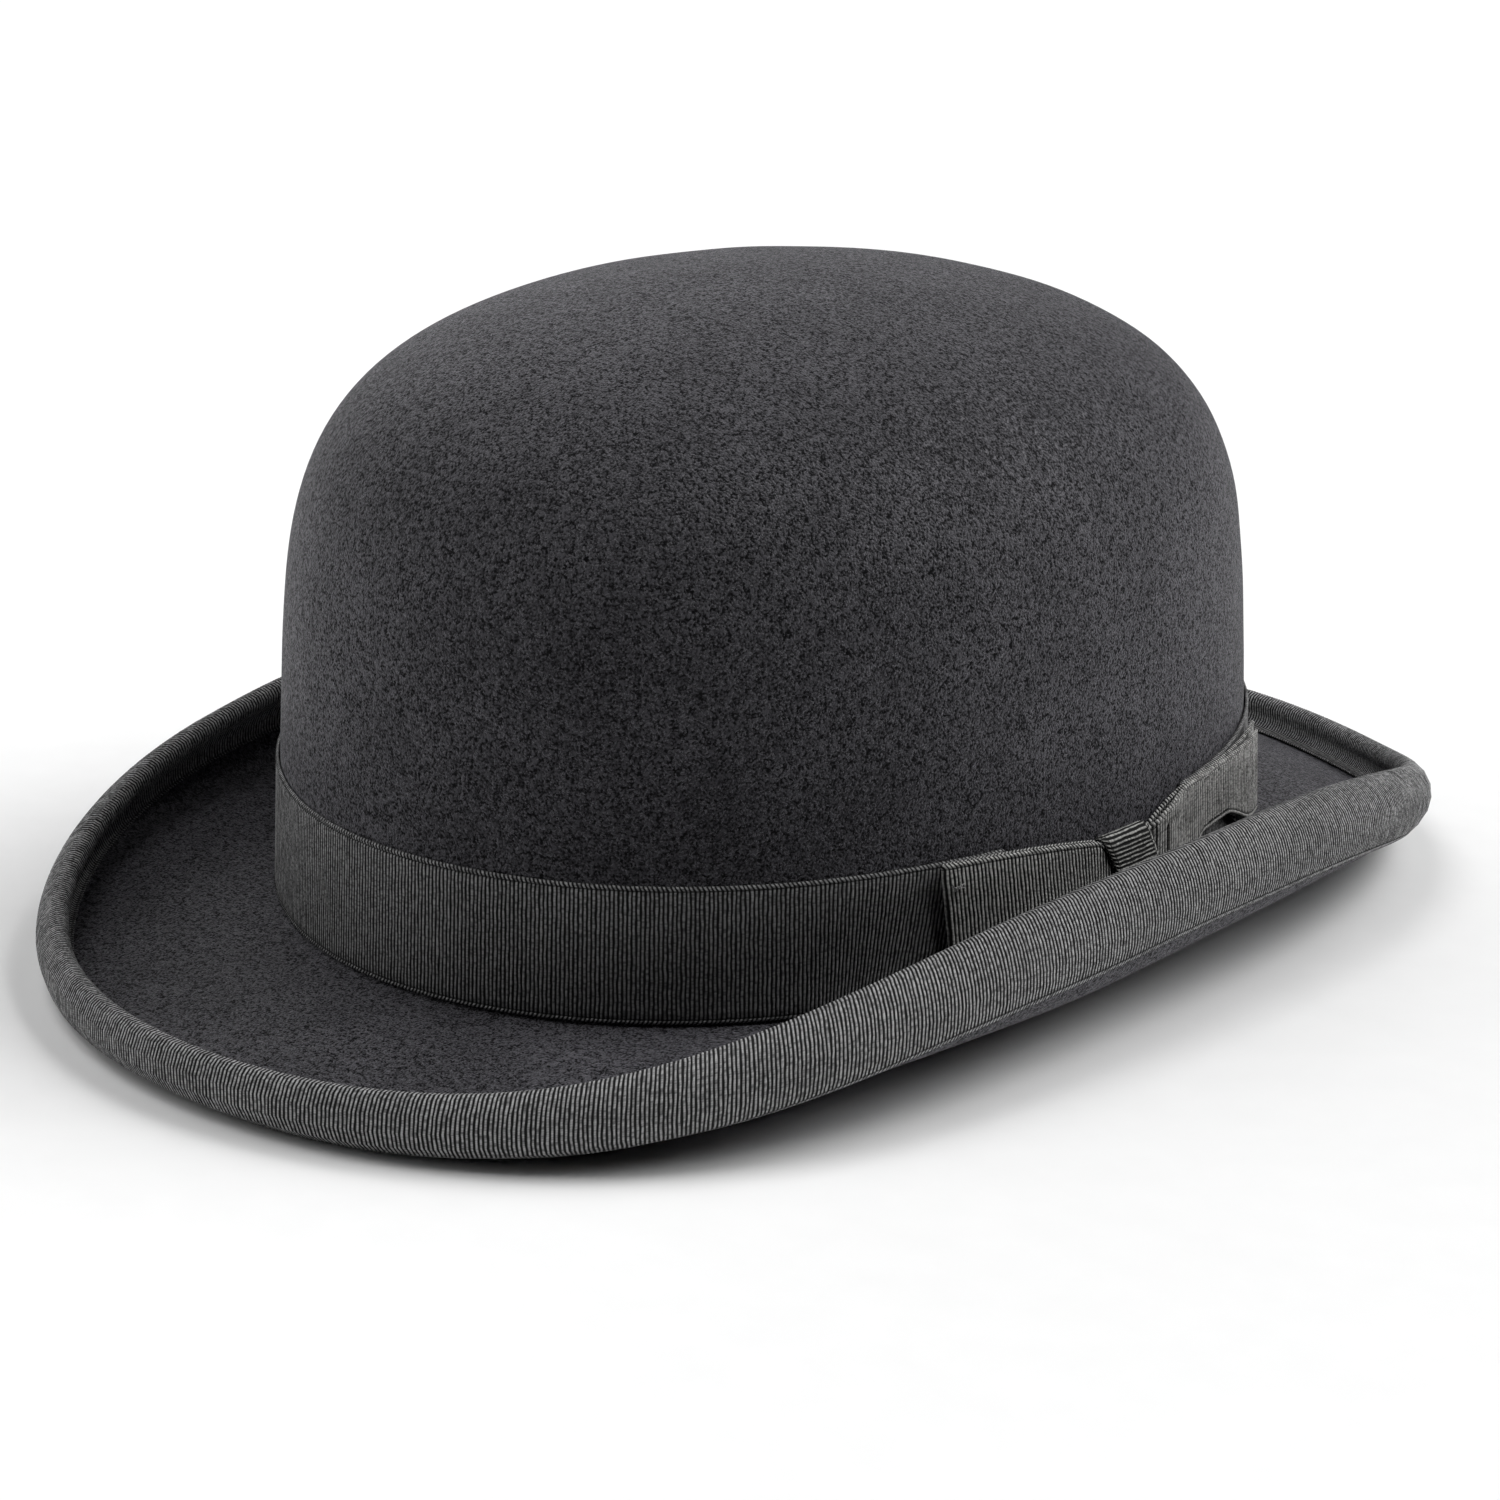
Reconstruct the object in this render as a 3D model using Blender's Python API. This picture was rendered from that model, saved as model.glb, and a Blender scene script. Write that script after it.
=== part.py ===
"""Bowler hat, built the way a hatter builds it: one moulded felt body, a ribbon
band with its bow, a ribbon binding folded over the brim's edge, and the leather
sweatband, reed and satin lining inside.

Metres, +Z up.  The wearer faces -Y and the bow is on the wearer's left, +X.
The origin is on the surface that the hat rests on, under the middle of its box.

The crown is an egg-shaped dome on an ellipse.  The brim is a section that runs
out from the crown's foot: first straight and sloping down, then an arc that
curls up.  Its slope, width, curl radius and curl angle change smoothly around
the hat, as sums of cosines of the angle THETA, which is 0 at the front and 90
degrees at the wearer's left.
"""

import bpy
import bmesh
from math import atan2, cos, hypot, pi, radians, sin
from mathutils import Vector

MM = 0.001

# Crown, measured outside the felt
CROWN_HALF_LENGTH = 105.3 * MM
CROWN_HALF_WIDTH = 87.9 * MM
CROWN_HEIGHT = 113.9 * MM
CROWN_WALL = 2.3 * MM
CROWN_SQUARENESS = 6.6
CROWN_ROUNDING = 1.875
CROWN_TAPER = 0.056
CROWN_LEAN = -2.8 * MM
CROWN_LEVELS = 9

# The crown's foot, where the brim breaks out of it
FOOT_HEIGHT = 12.6 * MM
FOOT_TILT = -4.1 * MM
FOOT_SADDLE = -0.15 * MM
CENTRE_Y = 0.65 * MM

# Brim section: mean value, then the cosine terms named by their multiple of THETA
BRIM_SLOPE = {0: 7.3, 1: -5.4, 2: 6.8, 4: 2.0, 6: -2.4}
BRIM_WIDTH = {0: 44.2, 2: 11.8, 4: -1.8}
CURL_RADIUS = {0: 6.9, 2: -3.5, 4: 1.15}
CURL_ANGLE = {0: 141.0, 1: 4.7, 2: -6.8, 4: -15.6}
BRIM_DROP = 1.7 * MM
BRIM_DROP_LENGTH = 20.0 * MM
BRIM_HALF_THICKNESS = 1.4 * MM

# Ribbons
RIBBON = 0.5 * MM
GAP = 0.3 * MM
BAND_WIDTH = 25.0 * MM
BINDING_OUTER_WIDTH = 12.9 * MM
BINDING_INNER_WIDTH = 12.0 * MM

# Bow, as angles around the crown, heights above its foot and offsets off the felt
BAND_REAR_END = 100.0
BAND_FRONT_END = 72.6
BOW_FOLD = 65.2
BOW_BASE_FRONT = 66.6
BOW_BASE_REAR = 122.6
BOW_BASE_OFFSET = 1.35 * MM
BOW_BASE_LIFT = 1.1 * MM
LEAF_OFFSET = 2.15 * MM
LOOP_FOLD_OFFSET = 3.3 * MM
LOOP_KNOT_OFFSET = 2.95 * MM
LOOP_TOP = 25.2 * MM
LOOP_BOTTOM = 0.8 * MM
LOOP_SINK = 3.3 * MM
LOOP_SINK_START = 68.0
LOOP_CORNER = 6.3 * MM
LOOP_CORNER_START = 83.6
LOOP_CORNER_SPAN = 2.6
LOOP_HIDDEN_END = 87.4
TAIL_HIDDEN_START = 90.8
TAIL_END = 119.4
TAIL_TOP = 25.2 * MM
TAIL_BOTTOM = 8.4 * MM
TAIL_SPREAD = 9.0
TAIL_LIFT = 1.9 * MM
TAIL_LIFT_START = 104.0
KNOT_FRONT = 85.2
KNOT_REAR = 92.2
KNOT_TOP = 22.0 * MM
KNOT_BOTTOM = 3.8 * MM
KNOT_OFFSET = 4.1 * MM
KNOT_THICKNESS = 0.6 * MM
PINCH_TOP = 20.8 * MM
PINCH_BOTTOM = 5.2 * MM

# Inside
SWEATBAND_WIDTH = 50.0 * MM
SWEATBAND_FOOT = 0.6 * MM
SWEATBAND_THICKNESS = 1.0 * MM
SWEATBAND_OFFSET = -3.4 * MM
SWEATBAND_HALF_SPLIT = 0.3
REED_RADIUS = 0.7 * MM
REED_OFFSET = -3.9 * MM
REED_HEIGHT = -1.4 * MM
TAPE_THICKNESS = 0.3 * MM
LINING_THICKNESS = 0.4 * MM
LINING_FOOT = 24.0 * MM
LINING_SEAM_ROW = 6
LINING_SEAM_GAP = 0.004
TAPE_OUTER_TOP = 6.0 * MM
TAPE_INNER_TOP = 3.8 * MM
TAPE_STITCH_HEIGHT = 2.8 * MM
THREAD_RADIUS = 0.2 * MM
BACK_BOW_HEIGHT = 14.0 * MM
BACK_BOW_HALF_WIDTH = 2.5 * MM
BACK_BOW_HALF_LENGTH = 14.0 * MM
BACK_BOW_NEAR = -5.6 * MM
BACK_BOW_FAR = -7.4 * MM
BACK_KNOT_NEAR = -4.85 * MM
BACK_KNOT_FAR = -8.15 * MM
BACK_KNOT_HALF_WIDTH = 1.7 * MM
BACK_BOW_RIBBON = 0.35 * MM
BACK_BOW_CORNERS = 12

STEPS_AROUND = 48
THETAS = [2 * pi * step / STEPS_AROUND for step in range(STEPS_AROUND)]

MATERIALS = {
    "wool_felt": ((0.020, 0.019, 0.022), 0.92),
    "grosgrain_ribbon": ((0.030, 0.031, 0.030), 0.62),
    "sewing_thread": ((0.018, 0.018, 0.019), 0.70),
    "sweatband_leather": ((0.105, 0.048, 0.022), 0.48),
    "reed_tape": ((0.060, 0.045, 0.036), 0.60),
    "reed_plastic": ((0.55, 0.53, 0.48), 0.45),
    "satin_lining": ((0.030, 0.031, 0.036), 0.36),
}


def make_materials():
    """One Principled material for each cloth, leather or plastic."""
    made = {}
    for name, (colour, roughness) in MATERIALS.items():
        material = bpy.data.materials.new(name)
        material.use_nodes = True
        shader = material.node_tree.nodes["Principled BSDF"]
        shader.inputs["Base Color"].default_value = (*colour, 1.0)
        shader.inputs["Roughness"].default_value = roughness
        shader.inputs["Metallic"].default_value = 0.0
        made[name] = material
    return made


def clear_scene():
    for item in list(bpy.data.objects):
        bpy.data.objects.remove(item, do_unlink=True)


# ---------------------------------------------------------------- hat surface

def cosine_sum(terms, theta):
    return sum(value * cos(multiple * theta) for multiple, value in terms.items())


def outward(theta):
    """Horizontal direction square to the crown's foot ellipse."""
    x = sin(theta) / CROWN_HALF_WIDTH
    y = -cos(theta) / CROWN_HALF_LENGTH
    length = hypot(x, y)
    return Vector((x / length, y / length, 0.0))


def foot_rise(theta):
    return FOOT_TILT * cos(theta) + FOOT_SADDLE * cos(2 * theta)


def foot_point(theta, out=0.0, up=0.0):
    """Point at the crown's foot, moved out and up in the section plane."""
    foot = Vector((
        CROWN_HALF_WIDTH * sin(theta),
        CENTRE_Y - CROWN_HALF_LENGTH * cos(theta),
        FOOT_HEIGHT + foot_rise(theta),
    ))
    return foot + outward(theta) * out + Vector((0.0, 0.0, up))


def crown_factor(level):
    """Share of the foot ellipse's size at a level from 0, the foot, to 1, the top."""
    dome = max(1.0 - abs(level) ** CROWN_SQUARENESS, 0.0) ** (1.0 / CROWN_ROUNDING)
    return dome * (1.0 - CROWN_TAPER * level)


def crown_point(theta, level, offset=0.0):
    """Point on the crown, moved along the wall's own normal, plus outwards."""
    factor = crown_factor(level)
    rise = foot_rise(theta) * (1.0 - level)
    point = Vector((
        CROWN_HALF_WIDTH * factor * sin(theta),
        CENTRE_Y - CROWN_HALF_LENGTH * factor * cos(theta) + CROWN_LEAN * level,
        FOOT_HEIGHT + rise + CROWN_HEIGHT * level,
    ))
    if level >= 1.0:
        return point + Vector((0.0, 0.0, offset))
    step = 0.0005
    slope = (crown_factor(level) - crown_factor(level - step)) / step
    reach = 1.0 / hypot(sin(theta) / CROWN_HALF_WIDTH, cos(theta) / CROWN_HALF_LENGTH)
    across = CROWN_HEIGHT
    upward = -reach * slope
    length = hypot(across, upward)
    shift = outward(theta) * (across / length) + Vector((0.0, 0.0, upward / length))
    return point + shift * offset


def wall_point(theta, height, offset):
    """Point beside the crown's wall at a height above the foot."""
    return crown_point(theta, height / CROWN_HEIGHT, offset)


def crown_levels():
    """Levels from the foot to just under the top, evenly spaced along the side."""
    samples = [index / 2000.0 for index in range(2001)]
    lengths = [0.0]
    for low, high in zip(samples, samples[1:]):
        across = CROWN_HALF_LENGTH * (crown_factor(high) - crown_factor(low))
        lengths.append(lengths[-1] + hypot(across, CROWN_HEIGHT * (high - low)))
    levels = [BAND_WIDTH / CROWN_HEIGHT, SWEATBAND_WIDTH / CROWN_HEIGHT]
    start = 0.37 * lengths[-1]
    for index in range(CROWN_LEVELS):
        target = start + (0.94 * lengths[-1] - start) * index / (CROWN_LEVELS - 1)
        nearest = min(range(len(samples)), key=lambda k: abs(lengths[k] - target))
        levels.append(samples[nearest])
    return levels


def brim_width(theta):
    return cosine_sum(BRIM_WIDTH, theta) * MM


def brim_section(theta, along):
    """Out, up and direction of the brim's middle surface, from the foot outwards."""
    slope = radians(cosine_sum(BRIM_SLOPE, theta))
    radius = cosine_sum(CURL_RADIUS, theta) * MM
    turn = radians(cosine_sum(CURL_ANGLE, theta))
    straight = brim_width(theta) - radius * (turn + slope)
    if along <= straight:
        direction = -slope
        out = along * cos(slope)
        up = -along * sin(slope)
    else:
        direction = (along - straight) / radius - slope
        out = straight * cos(slope) + radius * (sin(direction) + sin(slope))
        up = -straight * sin(slope) + radius * (cos(slope) - cos(direction))
    share = min(along / BRIM_DROP_LENGTH, 1.0)
    up -= BRIM_DROP * (1.0 - share * share * (3.0 - 2.0 * share))
    return out, up, direction


def brim_point(theta, along, offset):
    """Point beside the brim, offset towards its upper side."""
    out, up, direction = brim_section(theta, along)
    return foot_point(theta, out - offset * sin(direction), up + offset * cos(direction))


def brim_edge_point(theta, radius, around):
    """Point on the round edge: 0 degrees is the upper side and 180 the underside."""
    out, up, direction = brim_section(theta, brim_width(theta))
    side = radius * cos(radians(around))
    ahead = radius * sin(radians(around))
    out += ahead * cos(direction) - side * sin(direction)
    up += ahead * sin(direction) + side * cos(direction)
    return foot_point(theta, out, up)


# ---------------------------------------------------------------- mesh builders

def add_object(name, mesh_builder, material, flat_foot=False):
    """Turn a finished bmesh into a named object shaded smooth."""
    if flat_foot:
        for vertex in mesh_builder.verts:
            vertex.co.z = max(vertex.co.z, 0.0)
    faces = mesh_builder.faces[:]
    bmesh.ops.triangulate(mesh_builder, faces=faces, quad_method="SHORT_EDGE")
    bmesh.ops.recalc_face_normals(mesh_builder, faces=mesh_builder.faces)
    mesh = bpy.data.meshes.new(name)
    mesh_builder.to_mesh(mesh)
    mesh_builder.free()
    mesh.materials.append(material)
    mesh.shade_smooth()
    mesh.set_sharp_from_angle(angle=radians(40))
    item = bpy.data.objects.new(name, mesh)
    bpy.context.collection.objects.link(item)
    return item


def dome_shell(name, rows, material):
    """Closed shell from rows of points; the first and last rows are single poles."""
    build = bmesh.new()
    rings = [[build.verts.new(point) for point in row] for row in rows]
    for upper, lower in zip(rings, rings[1:]):
        count = max(len(upper), len(lower))
        for index in range(count):
            after = (index + 1) % count
            if len(upper) == 1:
                build.faces.new((upper[0], lower[index], lower[after]))
            elif len(lower) == 1:
                build.faces.new((upper[index], lower[0], upper[after]))
            else:
                build.faces.new((upper[index], lower[index], lower[after], upper[after]))
    return add_object(name, build, material)


def close_section(build, loop):
    """Faces across a section, each pairing points of its two long sides."""
    low = 0
    high = len(loop) - 1
    while high - low > 1:
        corners = [loop[low], loop[low + 1], loop[high]]
        if high - low > 2:
            corners.insert(2, loop[high - 1])
        build.faces.new(corners)
        low += 1
        high -= 1


def swept_solid(name, sections, material, closed, flat_foot=False):
    """Closed body swept through section polygons, as a full ring or capped at its ends."""
    build = bmesh.new()
    loops = [[build.verts.new(point) for point in section] for section in sections]
    pairs = list(zip(loops, loops[1:]))
    if closed:
        pairs.append((loops[-1], loops[0]))
    for first, second in pairs:
        count = len(first)
        for index in range(count):
            after = (index + 1) % count
            build.faces.new((first[index], first[after], second[after], second[index]))
    if not closed:
        close_section(build, loops[0])
        close_section(build, loops[-1])
    return add_object(name, build, material, flat_foot)


def round_section(sides, radius):
    """Corners of a small round section as (out, up) pairs."""
    turns = [2 * pi * index / sides for index in range(sides)]
    return [(radius * cos(turn), radius * sin(turn)) for turn in turns]


def strip_outline(path, thickness):
    """Outline of a bent strip of even thickness along a path of 2-D points."""
    left = []
    right = []
    for index, (x, y) in enumerate(path):
        before = path[max(index - 1, 0)]
        after = path[min(index + 1, len(path) - 1)]
        angle = atan2(after[1] - before[1], after[0] - before[0])
        left.append((x - sin(angle) * thickness / 2, y + cos(angle) * thickness / 2))
        right.append((x + sin(angle) * thickness / 2, y - cos(angle) * thickness / 2))
    return left + right[::-1]


def blend(low, high, share):
    return low + (high - low) * share


def smooth(share):
    share = min(max(share, 0.0), 1.0)
    return share * share * (3.0 - 2.0 * share)


# ---------------------------------------------------------------- felt body

# Shares of the binding's width, closer together where the brim rests
OUTER_SHARES = [0.0, 0.16, 0.24, 0.32, 0.40, 0.60, 0.80, 1.0]
INNER_SHARES = [0.0, 0.25, 0.50, 0.75, 1.0]
EDGE_TURNS = [60, 120]
OPEN_BRIM_SHARES = [0.25, 0.55, 0.80]


def binding_stations(theta, width, shares):
    """Distances from the foot to the rows under the binding."""
    start = brim_width(theta) - width
    return [start + width * share for share in shares]


def felt_body(materials):
    """Crown and brim moulded from one piece of felt."""
    half = BRIM_HALF_THICKNESS
    levels = crown_levels()
    rows = [[crown_point(0.0, 1.0)]]
    rows += [[crown_point(theta, level) for theta in THETAS] for level in reversed(levels)]
    rows.append([foot_point(theta, 0.0, half - BRIM_DROP) for theta in THETAS])
    brim_top = []
    brim_under = []
    for theta in THETAS:
        inner = binding_stations(theta, BINDING_INNER_WIDTH, INNER_SHARES)
        outer = binding_stations(theta, BINDING_OUTER_WIDTH, OUTER_SHARES)
        plain_top = [inner[0] * share for share in OPEN_BRIM_SHARES]
        plain_under = [outer[0] * share for share in OPEN_BRIM_SHARES]
        brim_top.append([brim_point(theta, along, half) for along in plain_top + inner])
        brim_under.append([brim_point(theta, along, -half) for along in plain_under + outer])
    rows += [list(row) for row in zip(*brim_top)]
    rows += [[brim_edge_point(theta, half, turn) for theta in THETAS] for turn in EDGE_TURNS]
    rows += [list(row) for row in zip(*brim_under)][::-1]
    rows.append([foot_point(theta, -CROWN_WALL, -BRIM_DROP - half) for theta in THETAS])
    rows += [[crown_point(theta, level, -CROWN_WALL) for theta in THETAS] for level in levels]
    rows.append([crown_point(0.0, 1.0, -CROWN_WALL)])
    return dome_shell("felt_body", rows, materials["wool_felt"])


# ---------------------------------------------------------------- brim binding

def brim_binding(materials):
    """Ribbon folded over the brim's edge, down its outside and its inside."""
    near = BRIM_HALF_THICKNESS + GAP
    far = near + RIBBON
    sections = []
    for theta in THETAS:
        inner = binding_stations(theta, BINDING_INNER_WIDTH, INNER_SHARES)
        outer = binding_stations(theta, BINDING_OUTER_WIDTH, OUTER_SHARES)
        shown = [brim_point(theta, along, far) for along in inner]
        shown += [brim_edge_point(theta, far, turn) for turn in EDGE_TURNS]
        shown += [brim_point(theta, along, -far) for along in reversed(outer)]
        hidden = [brim_point(theta, along, -near) for along in outer]
        hidden += [brim_edge_point(theta, near, turn) for turn in reversed(EDGE_TURNS)]
        hidden += [brim_point(theta, along, near) for along in reversed(inner)]
        sections.append(shown + hidden)
    ribbon = materials["grosgrain_ribbon"]
    return swept_solid("brim_binding", sections, ribbon, True, flat_foot=True)


def thread_ring(name, centre, materials, sides=3):
    """Thread that runs all the way round; centre(theta) gives its place."""
    sections = []
    for theta in THETAS:
        middle = centre(theta)
        across = outward(theta)
        corners = round_section(sides, THREAD_RADIUS)
        sections.append([middle + across * out + Vector((0.0, 0.0, up)) for out, up in corners])
    return swept_solid(name, sections, materials["sewing_thread"], True)


def binding_stitch(materials):
    """Hem stitching just under the binding's outer edge."""
    clear = BRIM_HALF_THICKNESS + GAP + THREAD_RADIUS

    def centre(theta):
        along = brim_width(theta) - BINDING_OUTER_WIDTH - 0.6 * MM
        return brim_point(theta, along, -clear)

    return thread_ring("binding_stitch", centre, materials)


# ---------------------------------------------------------------- band and bow

def wall_strip(name, stations, material):
    """Strip that lies along the crown.  A station is its angle in degrees, its
    middle's offset from the felt, and its bottom and top height."""
    sections = []
    for degree, offset, bottom, top in stations:
        theta = radians(degree)
        outer = offset + RIBBON / 2
        inner = offset - RIBBON / 2
        middle = (bottom + top) / 2
        sections.append([
            wall_point(theta, bottom, outer),
            wall_point(theta, middle, outer),
            wall_point(theta, top, outer),
            wall_point(theta, top, inner),
            wall_point(theta, middle, inner),
            wall_point(theta, bottom, inner),
        ])
    return swept_solid(name, sections, material, False)


def hat_band(materials):
    """Band ribbon, open under the bow, where its two ends are tacked down."""
    spacing = 360.0 / STEPS_AROUND
    turns = [BAND_REAR_END]
    turns += [step * spacing for step in range(14, 58)]
    turns.append(BAND_FRONT_END + 360.0)
    offset = GAP + RIBBON / 2
    stations = [(degree, offset, 0.0, BAND_WIDTH) for degree in turns]
    return wall_strip("hat_band", stations, materials["grosgrain_ribbon"])


def loop_top(degree):
    """The front loop sinks a little towards the knot and rounds down where it goes in."""
    sink = max(degree - LOOP_SINK_START, 0.0) / (KNOT_FRONT - LOOP_SINK_START)
    corner = max(degree - LOOP_CORNER_START, 0.0) / LOOP_CORNER_SPAN
    return LOOP_TOP - LOOP_SINK * min(sink, 1.0) ** 2 - LOOP_CORNER * min(corner, 1.0) ** 2


def loop_bottom(degree):
    return LOOP_BOTTOM + (LOOP_TOP - loop_top(degree)) * 0.9


def tail_share(degree):
    """0 under the knot and 1 where the ribbon has its full width behind it."""
    short = 1.0 - min(max(degree - KNOT_REAR, 0.0) / TAIL_SPREAD, 1.0)
    return 1.0 - short * short


def bow_base_ribbon(materials):
    """Flat ribbon under both wings, drawn in where the knot holds it."""
    steps = 14
    inset = 0.9 * MM
    stations = []
    for step in range(steps + 1):
        degree = blend(BOW_BASE_FRONT, BOW_BASE_REAR, step / steps)
        lift = smooth((degree - TAIL_END + 14.0) / 17.0) * BOW_BASE_LIFT
        if degree < KNOT_REAR:
            bottom = loop_bottom(degree) + inset
            top = min(loop_top(degree), PINCH_TOP + LOOP_SINK) - inset
        else:
            bottom = blend(PINCH_BOTTOM, LOOP_BOTTOM, tail_share(degree))
            top = blend(PINCH_TOP, TAIL_TOP, tail_share(degree)) - inset / 4
        stations.append((degree, BOW_BASE_OFFSET + lift, bottom, top))
    return wall_strip("bow_base_ribbon", stations, materials["grosgrain_ribbon"])


def bow_front_loop(materials):
    """Ribbon loop: a back leaf, a fold at the front end and an outer leaf."""
    places = (BOW_FOLD, 69.0, 73.0, 77.0, 81.0, 83.6, 84.9, 86.2, LOOP_HIDDEN_END)
    path = [(degree, LEAF_OFFSET) for degree in reversed(places)]
    path.append((BOW_FOLD - 0.75, (LEAF_OFFSET + LOOP_FOLD_OFFSET) / 2))
    for degree in places:
        share = (degree - BOW_FOLD) / (LOOP_HIDDEN_END - BOW_FOLD)
        path.append((degree, blend(LOOP_FOLD_OFFSET, LOOP_KNOT_OFFSET, smooth(share))))
    per_degree = CROWN_HALF_LENGTH * pi / 180
    flat_path = [(degree * per_degree, offset) for degree, offset in path]
    outline = strip_outline(flat_path, RIBBON)
    sections = []
    for place in (0.0, 0.5, 1.0):
        section = []
        for run, offset in outline:
            degree = run / per_degree
            height = blend(loop_bottom(degree), loop_top(degree), place)
            section.append(wall_point(radians(degree), height, offset))
        sections.append(section)
    return swept_solid("bow_front_loop", sections, materials["grosgrain_ribbon"], False)


def bow_rear_wing(materials):
    """Straight-cut ribbon end that fans out behind the knot and stands off the crown."""
    steps = 11
    stations = []
    for step in range(steps + 1):
        degree = blend(TAIL_HIDDEN_START, TAIL_END, step / steps)
        lift_span = TAIL_END - TAIL_LIFT_START
        lift = TAIL_LIFT * smooth((degree - TAIL_LIFT_START) / lift_span)
        bottom = blend(PINCH_BOTTOM, TAIL_BOTTOM, tail_share(degree))
        top = blend(PINCH_TOP, TAIL_TOP, tail_share(degree))
        stations.append((degree, LEAF_OFFSET + lift, bottom, top))
    return wall_strip("bow_rear_wing", stations, materials["grosgrain_ribbon"])


def bow_knot(materials):
    """Short ribbon wrapped over the bow's middle, its ends tucked in against the felt."""
    path = [
        (1.2 * MM, KNOT_TOP - 0.5 * MM),
        (KNOT_OFFSET - 1.4 * MM, KNOT_TOP - 0.2 * MM),
        (KNOT_OFFSET - 0.3 * MM, KNOT_TOP - 1.4 * MM),
        (KNOT_OFFSET, (KNOT_TOP + KNOT_BOTTOM) / 2),
        (KNOT_OFFSET - 0.3 * MM, KNOT_BOTTOM + 1.4 * MM),
        (KNOT_OFFSET - 1.4 * MM, KNOT_BOTTOM + 0.2 * MM),
        (1.2 * MM, KNOT_BOTTOM + 0.5 * MM),
    ]
    outline = strip_outline(path, KNOT_THICKNESS)
    sections = []
    for share in (0.0, 0.33, 0.67, 1.0):
        theta = radians(blend(KNOT_FRONT, KNOT_REAR, share))
        sections.append([wall_point(theta, height, offset) for offset, height in outline])
    return swept_solid("bow_knot", sections, materials["grosgrain_ribbon"], False)


def bow_tack(materials):
    """Small tacking thread that shows on the front loop."""
    spots = [(66.4, 22.6), (66.9, 21.9), (67.5, 22.1), (68.0, 21.5)]
    clear = LOOP_FOLD_OFFSET + RIBBON / 2 + GAP + THREAD_RADIUS
    sections = []
    for degree, height in spots:
        middle = wall_point(radians(degree), height * MM, clear)
        across = outward(radians(degree))
        corners = round_section(4, THREAD_RADIUS)
        sections.append([middle + across * out + Vector((0.0, 0.0, up)) for out, up in corners])
    return swept_solid("bow_tack", sections, materials["sewing_thread"], False)


# ---------------------------------------------------------------- inside

def sweatband(materials):
    """Leather band turned up inside the crown, its ends butted at the back."""
    split = SWEATBAND_HALF_SPLIT
    turns = [180.0 + split]
    turns += [180.0 + 360.0 * step / STEPS_AROUND for step in range(1, STEPS_AROUND)]
    turns.append(540.0 - split)
    lower = SWEATBAND_FOOT
    outer = SWEATBAND_OFFSET
    inner = SWEATBAND_OFFSET - SWEATBAND_THICKNESS
    sections = []
    for degree in turns:
        theta = radians(degree)
        heights = (lower, (lower + SWEATBAND_WIDTH) / 2, SWEATBAND_WIDTH)
        section = [wall_point(theta, height, outer) for height in heights]
        section += [wall_point(theta, height, inner) for height in reversed(heights)]
        sections.append(section)
    return swept_solid("sweatband", sections, materials["sweatband_leather"], False)


def sweatband_reed(materials):
    """Thin round reed that stiffens the sweatband's lower edge."""
    corners = round_section(5, REED_RADIUS)
    sections = []
    for theta in THETAS:
        sections.append([wall_point(theta, REED_HEIGHT + up, REED_OFFSET + out) for out, up in corners])
    return swept_solid("sweatband_reed", sections, materials["reed_plastic"], True)


def reed_tape(materials):
    """Tape folded round the reed, with one leg on each side of the leather."""
    clear = REED_RADIUS + GAP + TAPE_THICKNESS / 2
    path = [(REED_OFFSET + clear, TAPE_OUTER_TOP), (REED_OFFSET + clear, REED_HEIGHT)]
    for turn in (-45, -90, -135):
        path.append((
            REED_OFFSET + clear * cos(radians(turn)),
            REED_HEIGHT + clear * sin(radians(turn)),
        ))
    path += [(REED_OFFSET - clear, REED_HEIGHT), (REED_OFFSET - clear, TAPE_INNER_TOP)]
    outline = strip_outline(path, TAPE_THICKNESS)
    sections = [[wall_point(theta, up, out) for out, up in outline] for theta in THETAS]
    return swept_solid("reed_tape", sections, materials["reed_tape"], True)


def sweatband_stitch(materials):
    """Stitching that holds the tape's inner leg to the leather."""
    clear = REED_OFFSET - REED_RADIUS - GAP - TAPE_THICKNESS - GAP - THREAD_RADIUS

    def centre(theta):
        return wall_point(theta, TAPE_STITCH_HEIGHT, clear)

    return thread_ring("sweatband_stitch", centre, materials)


def ribbon_ring(name, half_length, near, far, half_width, thickness, place, material):
    """Flattened loop of ribbon.  Its path runs in (along, offset) between the near
    and far offsets, and place(along, offset, across) puts each point in space."""
    middle = (near + far) / 2
    half_depth = abs(far - near) / 2
    sections = []
    for index in range(BACK_BOW_CORNERS):
        turn = 2 * pi * (index + 0.5) / BACK_BOW_CORNERS
        section = []
        for inset, across in ((0, -1), (0, 1), (1, 1), (1, -1)):
            along = (half_length - inset * thickness) * rounded(cos(turn))
            offset = middle + (half_depth - inset * thickness) * rounded(sin(turn))
            section.append(place(along, offset, across * half_width))
        sections.append(section)
    return swept_solid(name, sections, material, True)


def rounded(value):
    """Push a circle's coordinate out towards a rounded square."""
    return abs(value) ** 0.6 * (1.0 if value > 0 else -1.0)


def sweatband_bow_loops(materials):
    """Narrow ribbon bow that covers the sweatband's join at the back."""
    def place(along, offset, across):
        return wall_point(pi + along / CROWN_HALF_WIDTH, BACK_BOW_HEIGHT + across, offset)

    return ribbon_ring(
        "sweatband_bow_loops", BACK_BOW_HALF_LENGTH, BACK_BOW_NEAR, BACK_BOW_FAR,
        BACK_BOW_HALF_WIDTH, BACK_BOW_RIBBON, place, materials["grosgrain_ribbon"])


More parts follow.
